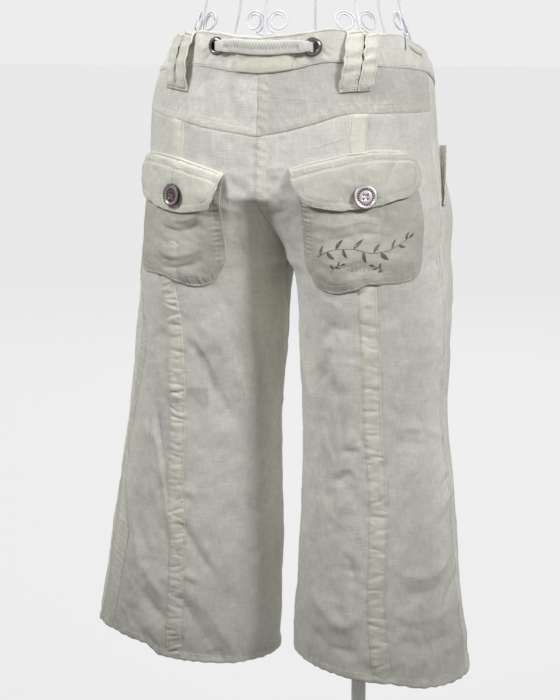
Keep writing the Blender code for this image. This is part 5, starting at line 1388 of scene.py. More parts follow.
def band_extra(q, z, low, high):
    """Relief of the band over the plain surface, by distance from the centre back."""
    out = np.zeros_like(q)
    for w, h, line in BAND_CREASES:
        out += crease(q, z, w, 1.75 * h, line)
    out += 0.00030 * noise(np.stack([q / 0.0090, z / 0.017, 0 * q + 2.0], -1), 41) + 0.00016 * noise(np.stack([q / 0.0046, z / 0.0065, 0 * q + 5.0], -1), 43)
    d_top, d_foot = high - z, z - low
    out += 0.00045 * BAND_ROPE(q) * np.exp(-(((d_foot - 0.004) / 0.005) ** 2))
    out += 0.00022 * BAND_ROPE(q * 1.1 + 0.2) * np.exp(-(((d_top - 0.004) / 0.004) ** 2))
    out -= 0.00026 * (np.exp(-(((d_top - 0.0028) / 0.0010) ** 2)) + np.exp(-(((d_foot - 0.0024) / 0.0010) ** 2)))
    return out


BAND_LIFT = 0.0004
blocks = []
pitch = 0.0019
lb, lf = HALF[1].length(0.86)
rb, rf = HALF[-1].length(0.86)
ub, uf = steps(float(rb), pitch)[1:-1], steps(float(rf), pitch)
v = steps(0.040, 0.0016)[:, None]
for side, back, us in (
    (-1, False, uf[::-1]),
    (-1, True, np.concatenate([ub[1:], [1.0]])),
    (1, True, ub[::-1]),
    (1, False, uf[1:]),
):
    q = columns(side, back, us)
    low, high = edge(BAND_FOOT, side, q), edge(BAND_TOP, side, q)
    z = low + (high - low) * v
    s = across_panel(side, back, z, us)
    if side < 0 and not back:
        s = np.maximum(s, s.min(1, keepdims=True) + 0.0010 + 0.00005 * np.arange(len(us)))
    up = np.clip((us - 0.80) / 0.18, 0, 1) * 0.0034 if side > 0 and not back else 0 * us
    qq = side * (q[None, :] + 0 * z)
    lift = BAND_LIFT + up + band_extra(qq, z, low[None, :], high[None, :])
    P, N = HALF[side].at(s, z, lift)
    blocks.append((P, N, qq, z, HALF_PLAIN(side, s, z)))
low, high = edge(BAND_FOOT, -1, 0.395), edge(BAND_TOP, -1, 0.395)
z = low + (high - low) * v
f = HALF[-1].length(z)[1]
lap = OVERLAP * np.concatenate([np.linspace(0.04, 1 - 0.0005 / OVERLAP, 16), [1.0]])[None, :]
s = -f + lap
qq = float(lb + lf) + lap + 0 * z
P, N = HALF[-1].at(s, z + 0 * s, 0.0034 + BAND_LIFT + 0 * s)
blocks.append((P, N, qq, z + 0 * s, P))
P = np.concatenate([x[0] for x in blocks], 1)
N = np.concatenate([x[1] for x in blocks], 1)
Q = np.concatenate([x[2] for x in blocks], 1)
Z = np.concatenate([x[3] for x in blocks], 1)
flat = np.concatenate([x[4] for x in blocks], 1)
band_run = np.concatenate([[0], np.cumsum(np.linalg.norm(np.diff(P[10], axis=0), axis=1))])
uv = np.stack([band_run[None, :] + 0 * Z, Z], -1)
tint = 0.35 + 0 * Z
# the band's right half is darker and its left back lighter: painted shade and painted light
waistband = cloth("waistband_cloth", P, N, BAND_WALL, uv, main_linen, "waistband", tint, 0.35 * smooth(0.01, -0.06, Q) - 0.60 * smooth(-0.03, 0.02, Q) * smooth(0.22, 0.14, Q))
band_grid = (P, N, Q, Z)
declare(flat)


def drill(name, matrix, radius, depth, sides=40):
    me = bpy.data.meshes.new(name)
    bm = bmesh.new()
    bmesh.ops.create_cone(bm, cap_ends=True, segments=sides, radius1=radius, radius2=radius, depth=depth)
    bm.to_mesh(me)
    bm.free()
    o = bpy.data.objects.new(name, me)
    bpy.context.scene.collection.objects.link(o)
    o.matrix_world = matrix
    return o


def facing(point, normal, up=(0, 0, 1)):
    n = Vector(normal).normalized()
    x = Vector(up).cross(n).normalized()
    y = n.cross(x)
    m = Matrix((x, y, n)).transposed().to_4x4()
    m.translation = Vector(point)
    return m


def bored(obj, cutters):
    """Takes the cutters out of the object's mesh for good."""
    for k, c in enumerate(cutters):
        b = obj.modifiers.new(f"cut_{k}", "BOOLEAN")
        b.operation, b.solver, b.object = "DIFFERENCE", "EXACT", c
    bpy.context.view_layer.update()
    me = bpy.data.meshes.new_from_object(obj.evaluated_get(bpy.context.evaluated_depsgraph_get()))
    obj.modifiers.clear()
    old, obj.data = obj.data, me
    bpy.data.meshes.remove(old)
    for c in cutters:
        m = c.data
        bpy.data.objects.remove(c, do_unlink=True)
        bpy.data.meshes.remove(m)


def plain_at(side, dist, height, lift=0.0):
    p, n = round_at(side * dist, height, lift)
    return p, n


cuts, eyelets = [], {}
for side in (1, -1):
    p, n = plain_at(side, *EYELET_AT[side])
    eyelets[side] = (p, n)
    cuts.append(drill("hole", facing(p, n), EYELET_HOLE + 0.0003, 0.02))
bored(waistband, cuts)
waistband.data.shade_smooth()


def lathe(name, profile, sides, matrix, mat, replaces=(), worn=None):
    """A closed profile of (radius, height) turned about the matrix's Z."""
    prof = np.array(profile, float)
    n = len(prof)
    a = np.linspace(0, 2 * np.pi, sides, endpoint=False)
    V = np.stack([prof[None, :, 0] * np.cos(a)[:, None], prof[None, :, 0] * np.sin(a)[:, None], prof[None, :, 1] + 0 * a[:, None]], -1)
    m = np.array(matrix)
    V = V.reshape(-1, 3) @ m[:3, :3].T + m[:3, 3]
    i, j = np.meshgrid(np.arange(sides), np.arange(n), indexing="ij")
    i2, j2 = (i + 1) % sides, (j + 1) % n
    F = np.stack([i * n + j, i2 * n + j, i2 * n + j2, i * n + j2], -1).reshape(-1, 4)
    w = np.zeros(n) if worn is None else np.asarray(worn, float)
    uv = np.zeros((len(V), 2))
    return piece(name, mesh_of(name, V, [F], uv, np.tile(w, sides)), mat, replaces)


for side, word in ((1, "left"), (-1, "right")):
    p, n = eyelets[side]
    base = p + n * (BAND_LIFT + BAND_WALL / 2)
    # from the barrel's inner end, through the hole, over the rolled lip and in to the cloth, then back inside
    prof = [
        (0.00500, -0.0046), (0.00500, 0.0000), (0.00505, 0.0012), (0.00535, 0.0021), (0.00590, 0.0026), (0.00650, 0.0027),
        (0.00715, 0.0025), (0.00790, 0.0020), (0.00855, 0.0013), (0.00895, 0.0007), (0.00910, 0.0001), (0.00885, -0.0002),
        (0.00700, 0.0000), (0.00590, 0.0001), (0.00555, -0.0005), (0.00545, -0.0046),
    ]
    prof = [(r * (1.05 if r > 0.0056 else 1.0), h) for r, h in prof]
    worn = [1, 1, 0.9, 0.75, 0.5, 0.3, 0.25, 0.35, 0.6, 0.9, 1, 1, 1, 1, 1, 1]
    lathe(f"eyelet_{word}_metal", prof, 56, facing(base, n), eyelet_mat, f"eyelet_{word}", worn)

# ---------------------------------------------------------------- the tie through the eyelets
TIE_END = (
    (-0.0260, -0.0046, 0.0120),
    (-0.0130, -0.0048, 0.0115),
    (-0.0050, -0.0046, 0.0098),
    (-0.0012, -0.0028, 0.0090),
    (-0.0002, 0.0008, 0.0088),
    (0.0012, 0.0050, 0.0092),
    (0.0052, 0.0078, 0.0108),
    (0.0100, 0.0074, 0.0124),
    (0.0160, 0.0050, 0.0136),
    (0.0260, 0.0042, 0.0144),
)
rows = [(EYELET_AT[1][0] - d, EYELET_AT[1][1], up, wide) for d, up, wide in TIE_END]
a, b = EYELET_AT[1][0] - TIE_END[-1][0], -EYELET_AT[-1][0] + TIE_END[-1][0]
for k in np.linspace(0, 1, 6)[1:-1]:
    rows.append((a + (b - a) * k, EYELET_AT[1][1] + (EYELET_AT[-1][1] - EYELET_AT[1][1]) * k - 0.0016 * math.sin(math.pi * k), 0.0042 + 0.0003 * math.sin(5 * k), 0.0148))
rows += [(-EYELET_AT[-1][0] + d, EYELET_AT[-1][1], up, wide) for d, up, wide in reversed(TIE_END)]
tie_rows = through(np.array(rows), 6)


def tie_at(i, k, extra=0.0):
    """Points on the tie: i its row (may be a fraction), k its share across from -0.5 to 0.5."""
    r = np.stack([np.interp(i, np.arange(len(tie_rows)), tie_rows[:, j]) for j in range(4)], -1)
    bow = 0.00055 * (1 - (2 * k) ** 2) + 0.00012 * np.sin(i * 0.9 + 5 * k)
    c, n = round_at(r[..., 0], r[..., 1], r[..., 2])
    return c + np.array([0, 0, 1]) * (r[..., 3] * k)[..., None] + n * (bow + extra)[..., None], n


i = np.arange(len(tie_rows), dtype=float)[None, :]
k = (steps(TIE_WIDE, 0.0012, 0.0004) - 0.5)[:, None]
P, N = tie_at(i + 0 * k, k + 0 * i)
uv = np.stack([i * 0.0018 + 0 * k, k * TIE_WIDE + 0 * i], -1)
tie = cloth("back_tie_cloth", P, N, TIE_WALL, uv, tie_linen, "back_tie")
declare(P)
n = 56
i = np.linspace(45, len(tie_rows) - 46, n)
zig = []
for a in range(n - 1):
    k0, k1 = (0.20, -0.17) if a % 2 else (-0.17, 0.20)
    pa, na = tie_at(np.array([i[a]]), np.array([k0 + 0.08]), np.array([TIE_WALL / 2 + 0.00005]))
    pb, nb = tie_at(np.array([i[a + 1]]), np.array([k1 + 0.08]), np.array([TIE_WALL / 2 + 0.00005]))
    zig.append((pa, pb, na))
tie_sewn = stitch_mesh("back_tie_zigzag", zig, 0.00024, dull_thread_mat)

# ---------------------------------------------------------------- the label under the tie, left bare
LABEL_Q = (0.0240, -0.0390)
q = (LABEL_Q[0] + (LABEL_Q[1] - LABEL_Q[0]) * steps(0.063, 0.0016, 0.0003))[None, :]
v = steps(0.025, 0.0014, 0.0003)[:, None]
foot = np.where(q >= 0, edge(BAND_FOOT, 1, q), edge(BAND_FOOT, -1, q)) + 0.0010
top = 0.8640 + 0 * q


def label_at(q, v, extra=0.0):
    foot = np.where(q >= 0, edge(BAND_FOOT, 1, q), edge(BAND_FOOT, -1, q)) + 0.0010
    z = foot + (0.8640 - foot) * v
    wave = 0.00030 * np.sin(q * 230 + 1.0) * (0.3 + v) + 0.00025 * np.sin(q * 90 + v * 4)
    free = 0.0003 * np.exp(-(((q - LABEL_Q[0]) / 0.006) ** 2))
    sewn = 0.00075 * (np.exp(-(((q - LABEL_Q[1]) / 0.005) ** 2)) + np.exp(-((v / 0.15) ** 2)))
    return round_at(q, z, 0.0026 + wave + free - sewn + extra)


P, N = label_at(q + 0 * v, v + 0 * q)
uv = np.stack([q + 0 * v, v * 0.025 + 0 * q], -1)
label = cloth("back_label_cloth", P, N, LABEL_WALL, uv, label_linen, "back_label")
declare(P)
cream_rows = []
for qq in (LABEL_Q[1] + 0.0016, LABEL_Q[1] + 0.0036):
    v = np.linspace(0.04, 0.97, 30)
    P, N = label_at(qq + 0 * v, v, LABEL_WALL / 2)
    cream_rows.append(run_along(P, N, 0.0024, 0.0018))

# ---------------------------------------------------------------- belt loops
loop_rows = []
for name, (side, q_top, q_foot, z_top, z_foot, out, tilt) in LOOPS.items():
    wide = LOOP_WIDTHS.get(name, LOOP_WIDE)
    centre = sum(float(x) for x in HALF[side].length(0.82)) if q_top < 0 else 0.0
    bow = Pucker(sum(map(ord, name)), 0, 1.2, 0.23, 0.3, 0.5)

    merge = {"belt_loop_back_left_inner": 0.0010, "belt_loop_back_left_outer": -0.0007}.get(name, 0.0)
    shift = -0.0030 if name == "belt_loop_back_right_outer" else 0.0

    def loop_at(a, v, extra=0.0, merge=merge, shift=shift, side=side, q_top=q_top, q_foot=q_foot, z_top=z_top, z_foot=z_foot, out=out, tilt=tilt, wide=wide, bow=bow):
        """a is the share across from -0.5 to 0.5, v from the top to the foot."""
        q = q_top + (q_foot - q_top) * v + merge * smooth(0.1, 0.6, v) + shift + a * wide * (1 + 0.05 * bow(v + 0.1)) + 0.0007 * bow(2.1 * v * 0.5 + 0.02)
        q = q + 0.0004 * np.sign(a) * noise(np.stack([v / 0.075, np.sign(a) * 3.1 + 0 * v, z_top * 40 + 0 * v], -1), 51) * (np.abs(a) > 0.4)
        z = z_top + (z_foot - z_top) * v + 0.0006 * np.sin(3 * a)
        if q_top < 0:
            q = sum(HALF[side].length(z)) + q
        arch = np.sin(np.pi * np.clip((v - 0.02) / 0.93, 0, 1)) ** 0.75
        lift = BAND_WALL / 2 + 0.0002 + LOOP_WALL / 2 + (0.0010 + out) * arch + 0.0007 * bow(v) * arch
        lift = lift + 2 * tilt * a * arch + 0.0004 * arch * (1 - (2 * a) ** 2)
        lift = lift + 0.00034 * noise(np.stack([a * wide / 0.006, v / 0.10, 0 * v + q_top * 90], -1), 53) + 0.00022 * noise(np.stack([a * wide / 0.004, v / 0.045, 0 * v + q_top * 70], -1), 54)
        return round_at(side * q, z, lift + extra)

    a = (steps(wide, 0.0014, 0.0004) - 0.5)[None, :]
    v = steps(abs(z_top - z_foot), 0.0014, 0.0004)[:, None]
    P, N = loop_at(a + 0 * v, v + 0 * a)
    uv = np.stack([a * wide + 0 * v, v * 0.06 + 0 * a], -1)
    groove = 0.18 * np.exp(-(((np.abs(a) * wide - (wide / 2 - 0.0022)) / 0.0009) ** 2))
    thick = LOOP_WALL * (1 - groove) + 0 * v
    o = cloth(f"{name}_cloth", P, N, thick, uv, cream_linen, name, 0.5 + 0 * thick)
    declare(P)
    for k in (-1, 1):
        vv = np.linspace(0.03, 0.97, 60)
        P, N = loop_at(k * (0.5 - 0.0022 / wide) + 0 * vv, vv, LOOP_WALL * 0.42)
        loop_rows.append(run_along(P, N, 0.0028, 0.0021))
    for v0 in (0.035, 0.955):
        aa = np.linspace(-0.36, 0.36, 18)
        for j in range(len(aa) - 1):
            pa, na = loop_at(aa[j:j + 1], np.array([v0 - 0.012]), LOOP_WALL / 2)
            pb, nb = loop_at(aa[j + 1:j + 2], np.array([v0 + 0.014]), LOOP_WALL / 2)
            loop_rows.append((pa, pb, na))
stitch_mesh("belt_loop_stitches", loop_rows, 0.00025)

# ---------------------------------------------------------------- strips down the back legs
STRIP_THIN = 0.0009


def strip_lift(side, s, z):
    a = (s - strip_middle(side, z)) / STRIP_HALF[side]
    middle = 1 - np.clip(np.abs(a), 0, 1) ** 4
    groove = -0.00014 * np.exp(-(((np.abs(a) - 0.78) / 0.08) ** 2))
    return WALL / 2 + 0.00006 + 0.00080 * middle + groove + (0.00054 if side > 0 else 0.00040) * strip_ripple(side, s, z) * (0.35 + 0.65 * middle)


for side, word in ((1, "left"), (-1, "right")):
    across = ((steps(2 * STRIP_HALF[side], 0.0011, 0.0004) - 0.5) * 2 * STRIP_HALF[side])[None, :]
    s0, s1 = strip_middle(side, 0.790) + across[0], strip_middle(side, 0.198) + across[0]
    top_z = edge(YOKE_FOOT, side, q_of(side, s0, 0.790 + 0 * s0)) + 0.0004
    k1, b1 = seam_line(side, 0.198), HALF[side].length(0.198)[0]
    foot_z = hem_at(side, True, (s1 - k1) / (b1 - k1)) + 0.0004
    top, foot = float(top_z.min()), float(foot_z.max())
    z = heights(top_z, foot_z, 0.0011)
    wob = 0.00040 * STRIP_TILT[side](z * 1.3 + 0.05)
    mid = strip_middle(side, z)
    s = mid + across + wob * np.sign(across) * (np.abs(across) > 0.006)
    lift = strip_lift(side, s, z + 0 * s) - 0.0008 * smooth(-0.0035, 0.0, z - top_z[None, :])
    P, N = HALF[side].at(s, z + 0 * s, lift)
    uv = np.stack([across + 0 * z, z + 0 * across + 0.3], -1)
    # darker toward the hem: painted shade
    o = cloth(f"back_strip_{word}_cloth", P, N, STRIP_THIN, uv, cream_linen, f"back_strip_{word}", 0.7, 1.0 * smooth(0.430, 0.250, P[..., 2]))
    declare(P)
    rows = []
    for k in (-1, 1):
        zz = np.linspace(top - 0.001, foot + 0.001, 900)
        ss = strip_middle(side, zz) + k * (STRIP_HALF[side] - 0.0018)
        P, N = HALF[side].at(ss, zz, strip_lift(side, ss, zz) + STRIP_THIN / 2)
        rows.append(run_along(P, N, PITCH, LONG))
    stitch_mesh(f"back_strip_{word}_stitches", rows)

# ---------------------------------------------------------------- patch pockets
POCKET_LIFT = WALL / 2 + 0.0019 + POCKET_WALL / 2


def pocket_s(side, share, z):
    t = np.clip((0.745 - z) / (0.745 - 0.620), -0.2, 1.2)
    (a0, a1), (b0, b1) = POCKET_IN[side], POCKET_OUT[side]
    a, b = a0 + (a1 - a0) * t, b0 + (b1 - b0) * t
    return a + (b - a) * share


def pocket_share(side, s, z):
    a, b = pocket_s(side, 0.0, z), pocket_s(side, 1.0, z)
    return (a - s) / (a - b)


POCKET_ROPE = {1: Pucker(131, -0.1, 0.6, 0.0075, 0.4, 0.25), -1: Pucker(137, -0.1, 0.6, 0.0078, 0.4, 0.25)}
POCKET_RIBS = {1: Pucker(231, -0.1, 0.9, 0.0052, 0.4, 0.10), -1: Pucker(237, -0.1, 0.9, 0.0050, 0.4, 0.05)}
# soft creases of the pockets: side, width, height, line of (distance behind the widest line, height) in mm
POCKET_CREASES = (
    (1, 5, 0.7, ((178, 700), (160, 688), (140, 684), (118, 690))),
    (1, 5, -0.8, ((176, 690), (158, 678), (138, 674), (112, 680))),
    (1, 6, 0.8, ((170, 660), (150, 650), (128, 648), (104, 656))),
    (1, 5, -0.7, ((168, 648), (148, 638), (126, 636), (100, 646))),
    (1, 4, 0.5, ((86, 700), (90, 676), (84, 652))),
    (-1, 6, 0.8, ((172, 690), (150, 684), (122, 690), (98, 684))),
    (-1, 5, -0.7, ((174, 678), (150, 672), (122, 678), (92, 674))),
    (-1, 6, 0.7, ((168, 652), (144, 646), (118, 652), (92, 646))),
    (-1, 5, -0.7, ((160, 640), (140, 636), (116, 642), (80, 638))),
    (-1, 4, 0.5, ((70, 690), (76, 668), (70, 646))),
    (-1, 4, -0.5, ((160, 706), (154, 690), (158, 668))),
)


def over_strip(side, s, z):
    a = np.abs(s - strip_middle(side, z)) - STRIP_HALF[side]
    return 1 - smooth(0.0010, 0.0080, a)


def pocket_lift(side, s, z, extra=True):
    """Lift of the pocket's middle surface: low at its sewn edges, higher over the strip and in the middle."""
    share = np.clip(pocket_share(side, s, z), -0.2, 1.2)
    wide = pocket_s(side, 0.0, z) - pocket_s(side, 1.0, z)
    foot = table(POCKET, np.clip(share, 0, 1))[..., 0]
    d = np.minimum(np.minimum(share, 1 - share) * wide, z - foot)
    low = WALL / 2 + 0.00045 - 0.0002 * (d < 0.0003)
    base = low + (POCKET_LIFT - low) * np.maximum(smooth(0.002, 0.020, d) * 0.72, over_strip(side, s, z))
    if extra:
        inside = smooth(0.0, 0.014, d)
        base = base + 0.0010 * inside + 0.0004 * noise(np.stack([s / 0.020, z / 0.016, 0 * s + 4.0], -1), 21) * inside
        for row in POCKET_CREASES:
            if row[0] == side:
                base = base + crease(s, z, row[1] * 0.85, row[2] * (2.2 if side > 0 else 1.5), row[3]) * inside
        base = base + 0.00034 * noise(np.stack([s / 0.0085, z / 0.0070, 0 * s + 7.0], -1), 25) * inside
        rim = np.exp(-(((d - 0.006) / 0.006) ** 2)) * (d > -0.01)
        run = np.where(z - foot < np.minimum(share, 1 - share) * wide, s, z)
        base = base + 0.00030 * rim * POCKET_ROPE[side](run * 0.98 + 0.02)
        # short ribs between the two rows, strongest up the inner side
        ribs = np.exp(-(((d - 0.0066) / 0.0046) ** 2)) * (0.35 + 0.65 * smooth(0.5, 0.2, share))
        base = base + 0.00085 * ribs * POCKET_RIBS[side](run + 0.12 * d)
        base = base - 0.00028 * (np.exp(-(((d - 0.0024) / 0.0009) ** 2)) + np.exp(-(((d - 0.0088) / 0.0010) ** 2)))
    return base


def offset_line(s, z, inward):
    """A line moved to its right by `inward`."""
    ds, dz = np.gradient(s), np.gradient(z)
    n = np.hypot(ds, dz)
    return s + dz / n * inward, z - ds / n * inward


FLAP_TOP_IN = 0.0015


def dense(rows, n=160):
    x = np.linspace(0, 1, n)
    return x, table(rows, x)


def border_of_pocket(side):
    """The pocket's sewn edge: down the inner side, along the bottom and up the outer side."""
    drop = FLAP_DROP[side]
    top = table(FLAP, np.array([0.0, 1.0]))[:, 0] + drop - FLAP_TOP_IN
    foot0, foot1 = POCKET[0][1], POCKET[-1][1]
    z1 = np.linspace(top[0], foot0, 60)
    s1 = pocket_s(side, 0.0, z1)
    x = np.linspace(0, 1, 160)[1:-1]
    z2 = table(POCKET, x)[:, 0]
    s2 = pocket_s(side, x, z2)
    z3 = np.linspace(foot1, top[1], 60)
    s3 = pocket_s(side, 1.0, z3)
    return np.concatenate([s1, s2, s3]), np.concatenate([z1, z2, z3])


def even_line(s, z, step=0.0008):
    run = np.concatenate([[0], np.cumsum(np.hypot(np.diff(s), np.diff(z)))])
    x = np.arange(0, run[-1], step)
    return np.interp(x, run, s), np.interp(x, run, z)


def soften(a, n=9):
    k = np.ones(n) / n
    pad = n // 2
    return np.convolve(np.concatenate([np.full(pad, a[0]), a, np.full(pad, a[-1])]), k, "valid")


pocket_sewn = []
for side, word in ((1, "left"), (-1, "right")):
    drop = FLAP_DROP[side]
    share = steps(0.13, 0.0013, 0.0004)[None, :]
    v = steps(0.125, 0.0012, 0.0004)[:, None]
    top = table(FLAP, share)[..., 0] + drop - FLAP_TOP_IN
    foot = table(POCKET, share)[..., 0]
    z = top + (foot - top) * v
    s = pocket_s(side, share, z)
    lift = pocket_lift(side, s, z)
    P, N = HALF[side].at(s, z, lift)
    # a dark value over the whole pocket adds more painted shade
    o = cloth(f"back_pocket_{word}_cloth", P, N, POCKET_WALL, np.stack([s, z + 0.2], -1), pocket_linen, f"back_pocket_{word}", 0.0, 0.45 + 0 * P[..., 0])
    declare(HALF_PLAIN(side, s, z))
    bs, bz = even_line(*border_of_pocket(side))
    bs, bz = soften(bs, 7), soften(bz, 7)
    for inward in (0.0020, 0.0085):
        ls, lz = offset_line(bs, bz, inward)
        ls, lz = even_line(soften(ls, 9), soften(lz, 9))
        P, N = HALF[side].at(ls, lz, pocket_lift(side, ls, lz) + POCKET_WALL / 2)
        pocket_sewn.append(run_along(P, N, PITCH, LONG))
stitch_mesh("back_pocket_stitches", pocket_sewn)

# ---------------------------------------------------------------- flaps
HOLE_AT = {1: (0.1400, 0.7335), -1: (0.1225, 0.7345)}
flap_sewn, hole_sewn = [], []


def flap_s(side, share, z):
    return pocket_s(side, share * (1 + FLAP_OVER) - 0.002, z)


def flap_share(side, s, z):
    return (pocket_share(side, s, z) + 0.002) / (1 + FLAP_OVER)


def flap_lift(side, s, z):
    drop = FLAP_DROP[side]
    share = np.clip(flap_share(side, s, z), 0, 1)
    top = table(FLAP, share)[..., 0] + drop
    foot = table(FLAP, share)[..., 1] + drop
    v = np.clip((top - z) / np.maximum(top - foot, 1e-4), 0, 1)
    under = pocket_lift(side, s, z, False) + POCKET_WALL / 2 + 0.0005 + FLAP_WALL / 2
    # near its sewn top the flap's fold lies down on the leg
    low = WALL / 2 - 0.00005
    lift = low + (under - low) * smooth(-0.0008, 0.0050, top - z)
    lift = lift + 0.0007 * smooth(0.0100, 0.0125, top - z) + 0.0009 * v + 0.0012 * np.sin(np.pi * v)
    gape = v**1.3 * FLAP_GAPE * np.clip((share - 0.35) / 0.65, 0, 1) ** 1.5
    gape = gape + v**1.2 * (0.0085 if side > 0 else 0.0030) * np.clip((0.17 - share) / 0.17, 0, 1) ** 1.2
    lift = lift + gape
    wide = pocket_s(side, 0.0, z) - pocket_s(side, 1.0, z)
    d = np.minimum(np.minimum(share, 1 - share) * wide, z - foot)
    # double row at the edge, and a flat band with two rows at the top
    lift = lift - 0.00028 * (np.exp(-(((d - 0.0024) / 0.0010) ** 2)) + np.exp(-(((d - 0.0086) / 0.0010) ** 2)))
    t = top - z
    lift = lift - 0.00030 * np.exp(-(((t - 0.0024) / 0.0010) ** 2)) - 0.00060 * np.exp(-(((t - 0.0114) / 0.0009) ** 2))
    lift = lift + 0.00046 * POCKET_RIBS[side](s * 1.01 + 0.31 + 0.15 * t) * np.exp(-(((t - 0.0064) / 0.0034) ** 2))
    lift = lift + 0.00030 * POCKET_ROPE[side](s * 1.02 + 0.07) * np.exp(-(((t - 0.006) / 0.006) ** 2))
    lift = lift + 0.00028 * POCKET_ROPE[side](s * 0.97 + 0.21) * np.exp(-(((d - 0.005) / 0.005) ** 2))
    lift = lift + (0.00085 * noise(np.stack([s / 0.022, z / 0.014, 0 * s + 9.0], -1), 23) + 0.00026 * noise(np.stack([s / 0.009, z / 0.007, 0 * s + 2.0], -1), 27)) * smooth(0.002, 0.012, t)
    # the button draws the flap in
    sb, zb = BUTTON_AT[side]
    r = np.hypot(s - sb, z - zb)
    lift = lift - 0.0006 * np.exp(-((r / 0.014) ** 2))
    return lift


for side, word in ((1, "left"), (-1, "right")):
    drop = FLAP_DROP[side]
    share = steps(0.135, 0.00115, 0.0004)[None, :]
    v = steps(0.05, 0.00105, 0.0004)[:, None]
    top = table(FLAP, share)[..., 0] + drop
    foot = table(FLAP, share)[..., 1] + drop
    z = top + (foot - top) * v
    s = flap_s(side, share, z)
    lift = flap_lift(side, s, z)
    P, N = HALF[side].at(s, z, lift)
    # the right flap is darker and the left one lighter: painted shade and painted light
    o = cloth(f"pocket_flap_{word}_cloth", P, N, FLAP_WALL, np.stack([s, z + 0.1], -1), flap_linen, f"pocket_flap_{word}", 0.2, (0.45 if side < 0 else -0.30) + 0 * P[..., 0])
    declare(HALF_PLAIN(side, s, z))
    # rows of stitches: round the free edge twice, and along the top twice
    x = np.linspace(0, 1, 200)
    zt = table(FLAP, x)[:, 0] + drop
    zf = table(FLAP, x)[:, 1] + drop
    z0 = np.linspace(zt[0], zf[0], 14)[:-1]
    z1 = np.linspace(zf[-1], zt[-1], 14)[1:]
    bs = np.concatenate([flap_s(side, 0.0, z0), flap_s(side, x, zf), flap_s(side, 1.0, z1)])
    bz = np.concatenate([z0, zf, z1])
    bs, bz = even_line(bs, bz)
    for inward in (0.0021, 0.0084):
        ls, lz = offset_line(soften(bs, 9), soften(bz, 9), inward)
        ls, lz = even_line(soften(ls, 13), soften(lz, 13))
        keep = lz < table(FLAP, np.clip(flap_share(side, ls, lz), 0, 1))[:, 0] + drop - 0.002
        ls, lz = ls[keep], lz[keep]
        P, N = HALF[side].at(ls, lz, flap_lift(side, ls, lz) + FLAP_WALL / 2)
        flap_sewn.append(run_along(P, N, PITCH, LONG))
    for down in (0.0023, 0.0092):
        x2 = np.linspace(0.015, 0.985, 200)
        lz = table(FLAP, x2)[:, 0] + drop - down
        ls = flap_s(side, x2, lz)
        P, N = HALF[side].at(ls, lz, flap_lift(side, ls, lz) + FLAP_WALL / 2)
        flap_sewn.append(run_along(P, N, PITCH, LONG))
    # buttonhole: close stitches on both sides of a slit
    sb, zb = BUTTON_AT[side]
    hs, hz = HOLE_AT[side]
    ax = np.array([sb - hs, zb - hz])
    long = 0.0130
    ax = ax / np.hypot(*ax)
    side_ax = np.array([-ax[1], ax[0]])
    for k in (-1, 1):
        for t in np.linspace(-0.5, 0.5, 22):
            c = np.array([hs, hz]) + ax * long * t
            a0, b0 = c + side_ax * k * 0.0002, c + side_ax * k * 0.0015
            pa, na = HALF[side].at(a0[0:1], a0[1:2], flap_lift(side, a0[0:1], a0[1:2]) + FLAP_WALL / 2)
            pb, nb = HALF[side].at(b0[0:1], b0[1:2], flap_lift(side, b0[0:1], b0[1:2]) + FLAP_WALL / 2)
            hole_sewn.append((pa, pb, na))
stitch_mesh("pocket_flap_stitches", flap_sewn)
stitch_mesh("buttonhole_stitches", hole_sewn, 0.00022, marks=False)

# ---------------------------------------------------------------- buttons
BUTTON_PROFILE = (
    (0.0001, 0.00285), (0.0040, 0.00285), (0.0062, 0.00275), (0.0074, 0.00240), (0.0080, 0.00235), (0.0086, 0.00270),
    (0.0092, 0.00330), (0.0100, 0.00368), (0.0108, 0.00372), (0.0115, 0.00350), (0.0120, 0.00300), (BUTTON_R, 0.00230),
    (0.0120, 0.00150), (0.0112, 0.00080), (0.0090, 0.0), (0.0001, 0.0),
)
BUTTON_WORN = (0.10, 0.10, 0.15, 0.95, 1.0, 0.9, 0.35, 0.05, 0.0, 0.35, 0.9, 1.0, 1.0, 1.0, 1.0, 1.0)


def button(name, matrix, node):
    # the left flap button gets the darker metal and a darker wear pattern: a painted dark reflection
    mat = button_mat_dark_reflection if name == "flap_button_left" else button_mat
    worn = [min(1.0, 0.45 + w) if k not in (6, 7, 8) else 0.10 for k, w in enumerate(BUTTON_WORN)] if name == "flap_button_left" else BUTTON_WORN
    o = lathe(f"{name}_metal", BUTTON_PROFILE, 48, matrix, mat, node, worn)
    cut = []
    for k in range(4):
        a = math.radians(45 + 90 * k)
        cut.append(drill("hole", matrix @ Matrix.Translation((0.0029 * math.cos(a), 0.0029 * math.sin(a), 0.0015)), 0.0012, 0.009, 16))
    bored(o, cut)
    # a ring of small dots stands for the raised pattern of such buttons
    bm = bmesh.new()
    for k in range(20):
        a = 2 * math.pi * k / 20
        m = matrix @ Matrix.Translation((0.0082 * math.cos(a), 0.0082 * math.sin(a), 0.0025)) @ Matrix.Scale(0.00095 if name == "flap_button_left" else 0.00066, 4)
        bmesh.ops.create_icosphere(bm, subdivisions=1, radius=1.0, matrix=m)
    me = bpy.data.meshes.new(f"{name}_dots")
    bm.to_mesh(me)
    bm.free()
    me.shade_smooth()
    piece(f"{name}_dots", me, button_mat)
    # thread through the holes: its rows are worked out here, but no mesh is made of them
    m = np.array(matrix)
    n = m[:3, 2]
    rows = []
    for x, y in ((1, 1), (1, -1)):
        a = m[:3, 3] + m[:3, 0] * 0.0022 * x + m[:3, 1] * 0.0022 * y + n * 0.0026
        b = m[:3, 3] - m[:3, 0] * 0.0022 * x - m[:3, 1] * 0.0022 * y + n * 0.0026
        rows.append((a[None], b[None], n[None]))
    return o


